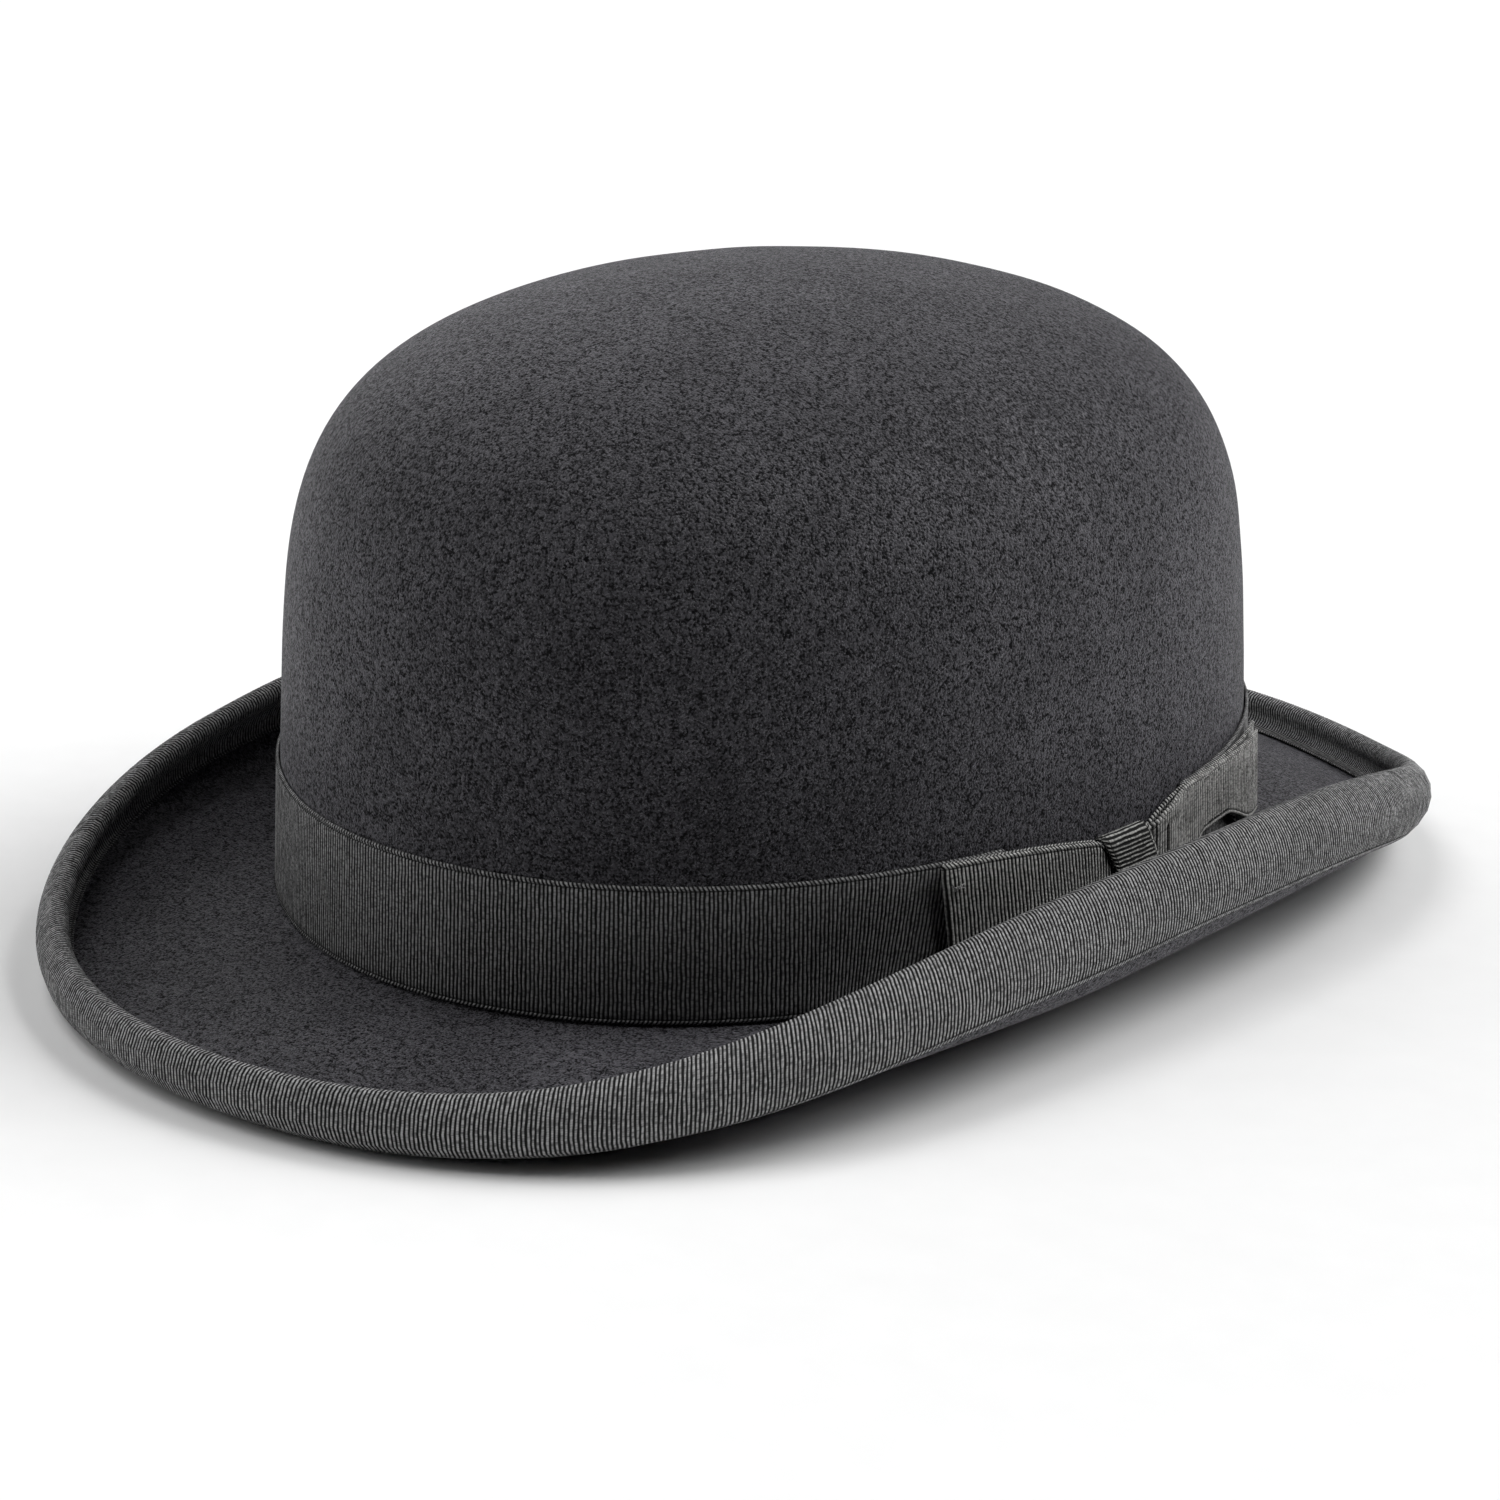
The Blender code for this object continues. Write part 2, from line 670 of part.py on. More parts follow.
def sweatband_bow_knot(materials):
    """Ribbon wrapped once around the middle of the back bow."""
    def place(along, offset, across):
        return wall_point(pi + across / CROWN_HALF_WIDTH, BACK_BOW_HEIGHT + along, offset)

    return ribbon_ring(
        "sweatband_bow_knot", BACK_BOW_HALF_WIDTH + 1.1 * MM, BACK_KNOT_NEAR, BACK_KNOT_FAR,
        BACK_KNOT_HALF_WIDTH, BACK_BOW_RIBBON, place, materials["grosgrain_ribbon"])


def lining_side(materials):
    """Satin band of the lining, its lower edge tucked behind the sweatband."""
    above = crown_levels()
    seam = above[LINING_SEAM_ROW]
    levels = [LINING_FOOT / CROWN_HEIGHT] + above[1:LINING_SEAM_ROW] + [seam - LINING_SEAM_GAP]
    outer = -CROWN_WALL - GAP
    inner = outer - LINING_THICKNESS
    sections = []
    for theta in THETAS:
        section = [crown_point(theta, level, outer) for level in levels]
        section += [crown_point(theta, level, inner) for level in reversed(levels)]
        sections.append(section)
    return swept_solid("lining_side", sections, materials["satin_lining"], True)


def lining_tip(materials):
    """Oval satin tip that closes the lining under the crown's top."""
    levels = crown_levels()[LINING_SEAM_ROW:]
    outer = -CROWN_WALL - GAP
    inner = outer - LINING_THICKNESS
    rows = [[crown_point(0.0, 1.0, outer)]]
    rows += [[crown_point(theta, level, outer) for theta in THETAS] for level in reversed(levels)]
    rows += [[crown_point(theta, level, inner) for theta in THETAS] for level in levels]
    rows.append([crown_point(0.0, 1.0, inner)])
    return dome_shell("lining_tip", rows, materials["satin_lining"])


def main():
    clear_scene()
    materials = make_materials()
    felt_body(materials)
    brim_binding(materials)
    binding_stitch(materials)
    hat_band(materials)
    bow_base_ribbon(materials)
    bow_front_loop(materials)
    bow_rear_wing(materials)
    bow_knot(materials)
    bow_tack(materials)
    sweatband(materials)
    sweatband_reed(materials)
    reed_tape(materials)
    sweatband_stitch(materials)
    sweatband_bow_loops(materials)
    sweatband_bow_knot(materials)
    lining_side(materials)
    lining_tip(materials)


main()
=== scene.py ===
"""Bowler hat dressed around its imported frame: wool felt, grosgrain ribbons, leather
sweatband, satin lining and sewing threads, on a pale studio floor.

Metres, +Z up.  The wearer faces -Y and the bow is on +X, the wearer's left.
THETA runs around the hat: 0 at the front, 90 degrees at the wearer's left.
Every cloth piece is built on the same surfaces as the frame: the crown, named by
its level from foot to top, and the brim, named by the distance out from the foot.
"""

import bmesh
import bpy
import numpy as np
from math import cos, pi, radians, sin
from mathutils import Matrix, Vector


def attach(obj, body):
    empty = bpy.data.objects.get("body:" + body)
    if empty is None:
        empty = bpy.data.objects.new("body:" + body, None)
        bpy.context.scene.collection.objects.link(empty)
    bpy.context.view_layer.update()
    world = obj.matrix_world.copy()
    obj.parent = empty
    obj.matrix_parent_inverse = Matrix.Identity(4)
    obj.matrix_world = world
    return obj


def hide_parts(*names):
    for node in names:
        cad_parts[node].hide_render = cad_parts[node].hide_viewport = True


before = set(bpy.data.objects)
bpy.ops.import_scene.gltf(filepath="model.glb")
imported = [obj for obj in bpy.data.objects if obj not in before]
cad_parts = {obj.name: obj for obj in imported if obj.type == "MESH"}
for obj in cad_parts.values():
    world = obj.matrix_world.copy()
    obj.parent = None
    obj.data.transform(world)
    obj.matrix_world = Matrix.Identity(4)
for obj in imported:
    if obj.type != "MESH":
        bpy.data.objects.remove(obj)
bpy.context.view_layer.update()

MM = 0.001
TURN = 2 * pi

# ---------------------------------------------------------------- hat surface

HALF_LENGTH = 105.3 * MM
HALF_WIDTH = 87.9 * MM
CROWN_HEIGHT = 113.9 * MM
CROWN_WALL = 2.3 * MM
CROWN_SQUARENESS = 6.6
CROWN_ROUNDING = 1.875
CROWN_TAPER = 0.056
CROWN_LEAN = -2.8 * MM
FOOT_HEIGHT = 12.6 * MM
FOOT_TILT = -4.1 * MM
FOOT_SADDLE = -0.15 * MM
CENTRE_Y = 0.65 * MM
BRIM_SLOPE = {0: 7.3, 1: -5.4, 2: 6.8, 4: 2.0, 6: -2.4}
BRIM_WIDTH = {0: 44.2, 2: 11.8, 4: -1.8}
CURL_RADIUS = {0: 6.9, 2: -3.5, 4: 1.15}
CURL_ANGLE = {0: 141.0, 1: 4.7, 2: -6.8, 4: -15.6}
BRIM_DROP = 1.7 * MM
BRIM_DROP_LENGTH = 20.0 * MM
BRIM_HALF = 1.4 * MM
GAP = 0.3 * MM
RIBBON = 0.5 * MM
BAND_WIDTH = 25.0 * MM
BINDING_OUTER_WIDTH = 12.9 * MM
BINDING_INNER_WIDTH = 12.0 * MM
LEAF_OFFSET = 2.15 * MM

rng = np.random.default_rng(7)


def cosines(terms, theta):
    return sum(value * np.cos(multiple * theta) for multiple, value in terms.items())


def outward(theta):
    """Horizontal direction square to the crown's foot ellipse."""
    x = np.sin(theta) / HALF_WIDTH
    y = -np.cos(theta) / HALF_LENGTH
    length = np.hypot(x, y)
    return x / length, y / length


def foot_rise(theta):
    return FOOT_TILT * np.cos(theta) + FOOT_SADDLE * np.cos(2 * theta)


def stack(x, y, z):
    return np.stack(np.broadcast_arrays(x, y, z), axis=-1)


def from_foot(theta, out, up):
    """Points moved out and up from the crown's foot in the section planes."""
    away_x, away_y = outward(theta)
    return stack(
        HALF_WIDTH * np.sin(theta) + away_x * out,
        CENTRE_Y - HALF_LENGTH * np.cos(theta) + away_y * out,
        FOOT_HEIGHT + foot_rise(theta) + up,
    )


def crown_factor(level):
    dome = np.maximum(1.0 - np.abs(level) ** CROWN_SQUARENESS, 0.0) ** (1.0 / CROWN_ROUNDING)
    return dome * (1.0 - CROWN_TAPER * level)


def crown(theta, level, offset):
    """Points on the crown moved along the wall's normal, plus outwards."""
    factor = crown_factor(level)
    step = 0.0005
    slope = (factor - crown_factor(level - step)) / step
    reach = 1.0 / np.hypot(np.sin(theta) / HALF_WIDTH, np.cos(theta) / HALF_LENGTH)
    upward = np.where(level >= 1.0, 1e6, -reach * slope)
    length = np.hypot(CROWN_HEIGHT, upward)
    away_x, away_y = outward(theta)
    flat = offset * CROWN_HEIGHT / length
    return stack(
        HALF_WIDTH * factor * np.sin(theta) + away_x * flat,
        CENTRE_Y - HALF_LENGTH * factor * np.cos(theta) + CROWN_LEAN * level + away_y * flat,
        FOOT_HEIGHT + foot_rise(theta) * (1.0 - level) + CROWN_HEIGHT * level + offset * upward / length,
    )


def wall(theta, height, offset):
    """Points beside the crown at a height above the foot."""
    return crown(theta, height / CROWN_HEIGHT, offset)


def brim_width(theta):
    return cosines(BRIM_WIDTH, theta) * MM


def brim(theta, along, offset, ahead=0.0):
    """Points beside the brim's middle surface, offset to its upper side and moved ahead."""
    slope = np.radians(cosines(BRIM_SLOPE, theta))
    radius = cosines(CURL_RADIUS, theta) * MM
    turn = np.radians(cosines(CURL_ANGLE, theta))
    straight = brim_width(theta) - radius * (turn + slope)
    bent = np.maximum(along - straight, 0.0) / radius
    direction = bent - slope
    run = np.minimum(along, straight)
    out = run * np.cos(slope) + np.where(bent > 0, radius * (np.sin(direction) + np.sin(slope)), 0.0)
    up = -run * np.sin(slope) + np.where(bent > 0, radius * (np.cos(slope) - np.cos(direction)), 0.0)
    share = np.clip(along / BRIM_DROP_LENGTH, 0.0, 1.0)
    up = up - BRIM_DROP * (1.0 - share * share * (3.0 - 2.0 * share))
    out = out - offset * np.sin(direction) + ahead * np.cos(direction)
    up = up + offset * np.cos(direction) + ahead * np.sin(direction)
    return from_foot(theta, out, up)


def smooth(share):
    share = np.clip(share, 0.0, 1.0)
    return share * share * (3.0 - 2.0 * share)


def mix(low, high, share):
    return low + (high - low) * share


def even_thetas(curve, count, first=0.0, last=TURN):
    """Angles that cut curve(theta) into count even lengths, with the length."""
    theta = np.linspace(first, last, 4001)
    steps = np.linalg.norm(np.diff(curve(theta), axis=0), axis=1)
    length = np.concatenate([[0.0], np.cumsum(steps)])
    wanted = np.linspace(0.0, length[-1], count + 1)
    return np.interp(wanted, length, theta), length[-1]


def unit(vectors):
    return vectors / np.linalg.norm(vectors, axis=1, keepdims=True)


def waves(theta, count, seed):
    """Smooth random ripple around the hat, about -1 to 1, made of whole waves."""
    pick = np.random.default_rng(seed)
    total = 0.0
    for number in range(2, count + 2):
        total = total + pick.normal() * np.sin(number * theta + pick.uniform(0, TURN)) / count ** 0.5
    return total


# ---------------------------------------------------------------- mesh builders

def finish_piece(item, node):
    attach(item, "root")
    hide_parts(node)


def finish_cloth(item, slot, node, flat, held, rests_on, **more):
    """Sheet piece; its flat width and length are not used."""
    finish_piece(item, node)


def place_object(name, data):
    item = bpy.data.objects.new(name, data)
    bpy.context.scene.collection.objects.link(item)
    return item


def mesh_from(name, points, faces, uvs, material):
    """Object from points, four-cornered faces and the faces' corner coordinates."""
    mesh = bpy.data.meshes.new(name)
    mesh.vertices.add(len(points))
    mesh.vertices.foreach_set("co", points.astype(np.float32).ravel())
    mesh.loops.add(faces.size)
    mesh.loops.foreach_set("vertex_index", faces.astype(np.int32).ravel())
    mesh.polygons.add(len(faces))
    mesh.polygons.foreach_set("loop_start", np.arange(len(faces), dtype=np.int32) * 4)
    mesh.update(calc_edges=True)
    layer = mesh.uv_layers.new(name="weave")
    layer.uv.foreach_set("vector", uvs.astype(np.float32).ravel())
    mesh.materials.append(material)
    mesh.shade_smooth()
    return place_object(name, mesh)


def grid_piece(name, rows, u, v, material, around=False, across=False, caps=False):
    """Mesh over rows of points.  around and across close the grid on itself; caps
    closes the ends of a strip whose rows run there and back."""
    points = np.stack(rows)
    rows, columns = points.shape[:2]
    row, column = np.meshgrid(
        np.arange(rows if across else rows - 1),
        np.arange(columns if around else columns - 1),
        indexing="ij",
    )
    row = row.ravel()
    column = column.ravel()
    next_row = (row + 1) % rows
    next_column = (column + 1) % columns
    faces = np.stack([
        row * columns + column,
        row * columns + next_column,
        next_row * columns + next_column,
        next_row * columns + column,
    ], axis=1)
    u = np.append(u, 2 * u[-1] - u[-2])
    v = np.append(v, 2 * v[-1] - v[-2])
    corner_u = np.stack([u[column], u[column + 1], u[column + 1], u[column]], axis=1)
    corner_v = np.stack([v[row], v[row], v[row + 1], v[row + 1]], axis=1)
    if caps:
        low = np.arange(rows // 2 - 1)
        far = rows - 1 - low
        first = np.stack([low, low + 1, far - 1, far], axis=1) * columns
        last = first[:, ::-1] + columns - 1
        faces = np.concatenate([faces, first, last])
        for column_u, ids in ((u[0], first), (u[columns - 1], last)):
            corner_u = np.concatenate([corner_u, np.full(ids.shape, column_u)])
            corner_v = np.concatenate([corner_v, v[ids // columns]])
    flat = points.reshape(-1, 3)
    a, b, c, d = (flat[faces[:, k]] for k in range(4))
    volume = (a * np.cross(b, c)).sum() + (a * np.cross(c, d)).sum()
    uvs = np.stack([corner_u, corner_v], axis=-1)
    if volume < 0:
        faces = faces[:, ::-1]
        uvs = uvs[:, ::-1]
    return mesh_from(name, flat, faces, uvs, material)


def weld(item, distance=0.00001):
    """Join the points that meet at a pole."""
    build = bmesh.new()
    build.from_mesh(item.data)
    bmesh.ops.remove_doubles(build, verts=build.verts, dist=distance)
    bmesh.ops.dissolve_degenerate(build, edges=build.edges, dist=distance / 10)
    build.to_mesh(item.data)
    build.free()
    return item


def tubes(name, lines, radius, material, sides=5):
    """Closed little threads: each line is an array of points, capped by its taper."""
    points = []
    faces = []
    start = 0
    turns = np.linspace(0, TURN, sides, endpoint=False)[None, :, None]
    for line in lines:
        along = unit(np.gradient(line, axis=0))
        side = unit(np.cross(along, (0.31, 0.12, 0.94)))
        other = np.cross(along, side)
        count = len(line)
        width = radius * np.sqrt(np.clip(1.0 - np.linspace(-1, 1, count) ** 8, 0.02, 1.0))
        ring = np.cos(turns) * side[:, None] + np.sin(turns) * other[:, None]
        points.append((line[:, None] + width[:, None, None] * ring).reshape(-1, 3))
        for row in range(start, start + (count - 1) * sides, sides):
            for k in range(sides):
                after = (k + 1) % sides
                faces.append((row + k, row + after, row + sides + after, row + sides + k))
        end = start + count * sides
        faces.append(range(start, start + sides)[::-1])
        faces.append(range(end - sides, end))
        start = end
    mesh = bpy.data.meshes.new(name)
    mesh.from_pydata(np.concatenate(points).tolist(), [], [list(face) for face in faces])
    mesh.materials.append(material)
    mesh.shade_smooth()
    build = bmesh.new()
    build.from_mesh(mesh)
    bmesh.ops.recalc_face_normals(build, faces=build.faces)
    build.to_mesh(mesh)
    build.free()
    return place_object(name, mesh)


# ---------------------------------------------------------------- materials

class Paint:
    """A Principled material and its node tree."""

    def __init__(self, name, **inputs):
        self.material = bpy.data.materials.new(name)
        self.material.use_nodes = True
        self.tree = self.material.node_tree
        self.shader = self.tree.nodes["Principled BSDF"]
        for key, value in inputs.items():
            self.shader.inputs[key.replace("_", " ")].default_value = value

    def node(self, kind, inputs=None, **settings):
        made = self.tree.nodes.new("ShaderNode" + kind)
        for key, value in settings.items():
            setattr(made, key, value)
        for key, value in (inputs or {}).items():
            if isinstance(value, bpy.types.NodeSocket):
                self.tree.links.new(value, made.inputs[key])
            else:
                made.inputs[key].default_value = value
        return made

    def math(self, operation, *values):
        made = self.tree.nodes.new("ShaderNodeMath")
        made.operation = operation
        for index, value in enumerate(values):
            if isinstance(value, bpy.types.NodeSocket):
                self.tree.links.new(value, made.inputs[index])
            else:
                made.inputs[index].default_value = value
        return made.outputs[0]

    def times(self, share, *values):
        for value in values:
            share = self.math("MULTIPLY", share, value)
        return share

    def gap(self, value, centre):
        return self.math("ABSOLUTE", self.math("SUBTRACT", value, centre))

    def sine(self, value, factor):
        return self.math("SINE", self.times(value, factor))

    def place(self):
        return self.node("TexCoord").outputs["Object"]

    def weave(self):
        """Ribs counted along the cloth in X and millimetres across it in Y."""
        spot = self.node("UVMap", uv_map="weave").outputs[0]
        return spot, *self.node("SeparateXYZ", {"Vector": spot}).outputs[:2]

    def squeeze(self, spot, scale):
        return self.node("Mapping", {"Vector": spot, "Scale": scale}).outputs[0]

    def noise(self, vector, scale, detail=2.0, roughness=0.5, distortion=0.0):
        inputs = {"Vector": vector, "Scale": scale, "Detail": detail,
                  "Roughness": roughness, "Distortion": distortion}
        return self.node("TexNoise", inputs).outputs["Fac"]

    def ramp(self, value, low, high, start=0.0, end=1.0):
        """Maps a value from one range to another, held at its ends."""
        inputs = {"Value": value, "From Min": low, "From Max": high, "To Min": start, "To Max": end}
        return self.node("MapRange", inputs).outputs[0]

    def colour(self, share, dark, light):
        made = self.node("Mix", data_type="RGBA")
        made.inputs[6].default_value = (*dark, 1.0)
        made.inputs[7].default_value = (*light, 1.0)
        self.tree.links.new(share, made.inputs[0])
        return made.outputs[2]

    def link(self, socket, name):
        self.tree.links.new(socket, self.shader.inputs[name])

    def bump(self, height, distance, strength=1.0):
        """Relief in metres for a height from 0 to 1."""
        inputs = {"Height": height, "Distance": distance, "Strength": strength}
        self.link(self.node("Bump", inputs).outputs[0], "Normal")


def felt_material(name, dark, light):
    """Short wool nap: dark pits and pale fibre tips over a faint mottling."""
    paint = Paint(name, Roughness=0.55, Sheen_Roughness=0.5, Sheen_Tint=(0.93, 0.91, 1.0, 1.0))
    spot = paint.place()
    speck = paint.noise(spot, 2300.0, 2.0, 0.6)
    nap = paint.noise(spot, 950.0, 2.0, 0.55)
    curl = paint.noise(spot, 560.0, 1.5, 0.5, 1.4)
    cloud = paint.noise(spot, 60.0, 3.0, 0.5)
    value = paint.math("MULTIPLY_ADD", speck, 0.62, paint.times(nap, 0.38))
    share = paint.ramp(value, 0.41, 0.60)
    fibre = paint.times(paint.ramp(paint.gap(curl, 0.5), 0.0, 0.022, 1.0, 0.0), paint.ramp(speck, 0.45, 0.58))
    share = paint.math("MULTIPLY_ADD", fibre, 0.9, share)
    share = paint.times(share, paint.ramp(cloud, 0.3, 0.7, 0.82, 1.15))
    paint.link(paint.colour(share, dark, light), "Base Color")
    paint.link(paint.ramp(share, 0.0, 1.4, 0.04, 0.62), "Specular IOR Level")
    paint.link(paint.ramp(share, 0.0, 1.4, 0.04, 0.42), "Sheen Weight")
    paint.bump(share, 0.00022, 0.9)
    return paint.material


def ribbon_material(name, dark, light, gloss=0.65, width=25.0, spread=(0.55, 0.92)):
    """Grosgrain: pale beaded ribs across the ribbon with painted shade darkening the gaps between them,
    and a selvedge of tilted dashes beyond a groove at both long edges, with a painted shadow line in the
    groove."""
    paint = Paint(name, Roughness=gloss, Specular_IOR_Level=0.3)
    spot, along, across = paint.weave()
    edge = paint.math("MINIMUM", paint.math("ABSOLUTE", across), paint.gap(across, width))
    wander = paint.ramp(paint.noise(paint.squeeze(spot, (0.5, 0.3, 1.0)), 1.0, 2.0), 0.3, 0.7, -0.13, 0.13)
    ribs = paint.math("ADD", along, paint.math("ADD", wander, paint.ramp(edge, 0.0, 0.9, 0.7, 0.0)))
    ridge = paint.math("ABSOLUTE", paint.sine(ribs, pi))
    number = paint.math("FLOOR", ribs)
    bead_spot = {"X": paint.times(number, 7.31), "Y": paint.times(across, 1.9)}
    bead = paint.noise(paint.node("CombineXYZ", bead_spot).outputs[0], 1.0, 1.5, 0.6)
    yarn = paint.sine(paint.math("ADD", paint.times(across, 3.4), paint.times(number, 0.5)), TURN)
    share = paint.times(
        # painted shade: darker from each rib's crest into the gaps between the ribs, spread sets how far
        paint.ramp(ridge, *spread),
        paint.ramp(bead, 0.32, 0.68, 0.35, 1.3),
        paint.ramp(yarn, -1.0, 1.0, 0.75, 1.05),
        paint.ramp(paint.noise(paint.place(), 45.0, 3.0, 0.55), 0.3, 0.7, 0.86, 1.1),
        # painted shadow line along the groove inside each selvedge
        paint.ramp(paint.gap(edge, 0.98), 0.06, 0.24, 0.12, 1.0),
    )
    paint.link(paint.colour(share, dark, light), "Base Color")
    paint.link(paint.ramp(share, 0.0, 1.0, gloss + 0.25, gloss), "Roughness")
    height = paint.math("MULTIPLY_ADD", yarn, 0.15, paint.math("MULTIPLY_ADD", bead, 0.5, ridge))
    paint.bump(height, 0.0001, 0.8)
    return paint.material


def thread_material(name, dark, light):
    """Twisted sewing thread."""
    paint = Paint(name, Roughness=0.6, Sheen_Weight=0.3)
    inputs = {"Vector": paint.place(), "Scale": 900.0, "Distortion": 3.0}
    twist = paint.node("TexWave", inputs, bands_direction="DIAGONAL").outputs["Fac"]
    paint.link(paint.colour(twist, dark, light), "Base Color")
    paint.bump(twist, 0.00005)
    return paint.material


def leather_material():
    """Tanned sheepskin: pebbled grain, darker along the grooves between the pebbles and in broad blotches."""
    paint = Paint("sweatband leather", Roughness=0.45, Specular_IOR_Level=0.45)
    spot = paint.place()
    pebble = paint.node("TexVoronoi", {"Vector": spot, "Scale": 1150.0, "Randomness": 1.0},
                        feature="DISTANCE_TO_EDGE").outputs["Distance"]
    pebble = paint.ramp(pebble, 0.0, 0.28)
    crease = paint.noise(spot, 320.0, 4.0, 0.6, 0.6)
    cloud = paint.noise(spot, 38.0, 4.0, 0.6)
    share = paint.math("MULTIPLY_ADD", cloud, 0.7, paint.times(crease, 0.3))
    share = paint.times(paint.ramp(share, 0.35, 0.65), paint.ramp(pebble, 0.0, 1.0, 0.7, 1.0))
    paint.link(paint.colour(share, (0.055, 0.022, 0.009), (0.150, 0.068, 0.030)), "Base Color")
    paint.link(paint.ramp(crease, 0.3, 0.7, 0.38, 0.60), "Roughness")
    paint.bump(paint.math("MULTIPLY_ADD", crease, 0.5, pebble), 0.00012, 0.7)
    return paint.material


def satin_material():
    """Satin: long floats give a soft gloss, with a faint diagonal twill under it."""
    paint = Paint("satin lining", Roughness=0.34, Specular_IOR_Level=0.6, Sheen_Weight=0.2)
    spot, along, across = paint.weave()
    line = paint.math("ADD", paint.times(along, 5.0), paint.times(across, 2.0))
    twill = paint.ramp(paint.sine(line, pi), -1.0, 1.0)
    slub = paint.noise(paint.squeeze(spot, (0.2, 3.0, 1.0)), 1.5, 3.0)
    cloud = paint.noise(paint.place(), 30.0, 3.0)
    share = paint.times(paint.ramp(slub, 0.3, 0.7, 0.6, 1.0), paint.ramp(twill, 0.0, 1.0, 0.8, 1.0),
                        paint.ramp(cloud, 0.3, 0.7, 0.85, 1.1))
    paint.link(paint.colour(share, (0.012, 0.013, 0.017), (0.055, 0.058, 0.070)), "Base Color")
    paint.link(paint.ramp(slub, 0.3, 0.7, 0.28, 0.42), "Roughness")
    paint.bump(paint.math("MULTIPLY_ADD", twill, 0.4, slub), 0.00004, 0.6)
    return paint.material


FELT = felt_material("wool felt", (0.0032, 0.0031, 0.0038), (0.0385, 0.0370, 0.0447))
# The same black grosgrain for every ribbon: the binding, bow, tail and knot copies are painted lighter than the
# band for the light each piece catches, and their gap shade is set apart for the same reason.
BAND_CLOTH = ribbon_material("band grosgrain", (0.005, 0.005, 0.005), (0.335, 0.335, 0.338))
BINDING_CLOTH = ribbon_material("binding grosgrain", (0.005, 0.005, 0.005), (0.405, 0.405, 0.408), width=30.9,
                                spread=(0.60, 0.93))
BOW_CLOTH = ribbon_material("bow grosgrain", (0.005, 0.005, 0.005), (0.60, 0.60, 0.585))
TAIL_CLOTH = ribbon_material("bow tail grosgrain", (0.02, 0.02, 0.02), (0.50, 0.495, 0.482), spread=(0.2, 0.8))
KNOT_CLOTH = ribbon_material("knot grosgrain", (0.003, 0.003, 0.003), (0.50, 0.50, 0.48), width=13.0,
                             spread=(0.70, 0.97))
THREAD = thread_material("sewing thread", (0.006, 0.006, 0.006), (0.030, 0.030, 0.031))
TACK_THREAD = thread_material("tacking thread", (0.10, 0.10, 0.10), (0.34, 0.34, 0.34))
LIGHT_THREAD = thread_material("sweatband thread", (0.050, 0.035, 0.022), (0.16, 0.12, 0.08))
LEATHER = leather_material()
SATIN = satin_material()
TAPE_CLOTH = ribbon_material("reed tape cloth", (0.02, 0.014, 0.010), (0.14, 0.10, 0.075), 0.6, 16.0)


# ---------------------------------------------------------------- felt body

FELT_COLUMNS = 480


def felt_body():
    """One closed shell of felt: crown, brim and curl, inside and out."""
    theta = np.linspace(0, TURN, FELT_COLUMNS, endpoint=False)
    level = np.linspace(0.0, 1.0, 4001)
    run = np.concatenate([[0], np.cumsum(np.hypot(
        HALF_LENGTH * np.diff(crown_factor(level)), CROWN_HEIGHT * np.diff(level)))])
    rows = []

    def ripple(height):
        size = 0.10 * MM * waves(theta, 9, 3) + 0.08 * MM * waves(theta + height * 31.0, 12, 5)
        return size * smooth(height / (30 * MM))

    for target in np.linspace(run[-1], 0.0, 82):
        at = np.interp(target, run, level)
        dent = ripple(at * CROWN_HEIGHT) * smooth((run[-1] - target) / (25 * MM))
        rows.append(crown(theta, at, dent))
    width = brim_width(theta)
    inner = width - BINDING_INNER_WIDTH
    outer = width - BINDING_OUTER_WIDTH

    def lie(along):
        """Brim felt is a little uneven between the band and the binding."""
        return 0.10 * MM * waves(theta, 11, 8) * np.sin(np.clip(along / inner, 0, 1) * pi)

    for share in np.linspace(0.02, 1.0, 20):
        rows.append(brim(theta, inner * share, BRIM_HALF + lie(inner * share)))
    for share in np.linspace(0.1, 1.0, 10):
        rows.append(brim(theta, mix(inner, width, share), BRIM_HALF))
    for around in (30, 60, 90, 120, 150):
        turn = radians(around)
        rows.append(brim(theta, width, BRIM_HALF * cos(turn), BRIM_HALF * sin(turn)))
    for share in np.linspace(1.0, 0.1, 10):
        rows.append(brim(theta, mix(outer, width, share), -BRIM_HALF))
    for share in np.linspace(1.0, 0.04, 20):
        rows.append(brim(theta, outer * share, -BRIM_HALF + lie(outer * share)))
    rows.append(from_foot(theta, -CROWN_WALL, -BRIM_DROP - BRIM_HALF))
    for target in np.linspace(4 * MM, run[-1], 40):
        at = np.interp(target, run, level)
        rows.append(crown(theta, at, -CROWN_WALL))
    item = grid_piece("felt_hat", rows, theta, np.arange(len(rows)) * 1.0, FELT, around=True)
    weld(item)
    finish_piece(item, "felt_body")


# ---------------------------------------------------------------- ribbons

RIB_STEPS = 4
RIB_SHAPE = np.array([0.0, 0.80, 1.0, 0.80])
RIB_PITCH = 0.79 * MM
SELVEDGE = ((0.35, 0.10), (0.78, 0.04), (0.98, -0.14), (1.2, 0.0))


def rib_columns(count, closed):
    """Positions counted in ribs, and the height of the rib there from 0 to 1."""
    steps = count * RIB_STEPS + (0 if closed else 1)
    place = np.arange(steps) / RIB_STEPS
    return place, RIB_SHAPE[np.arange(steps) % RIB_STEPS]


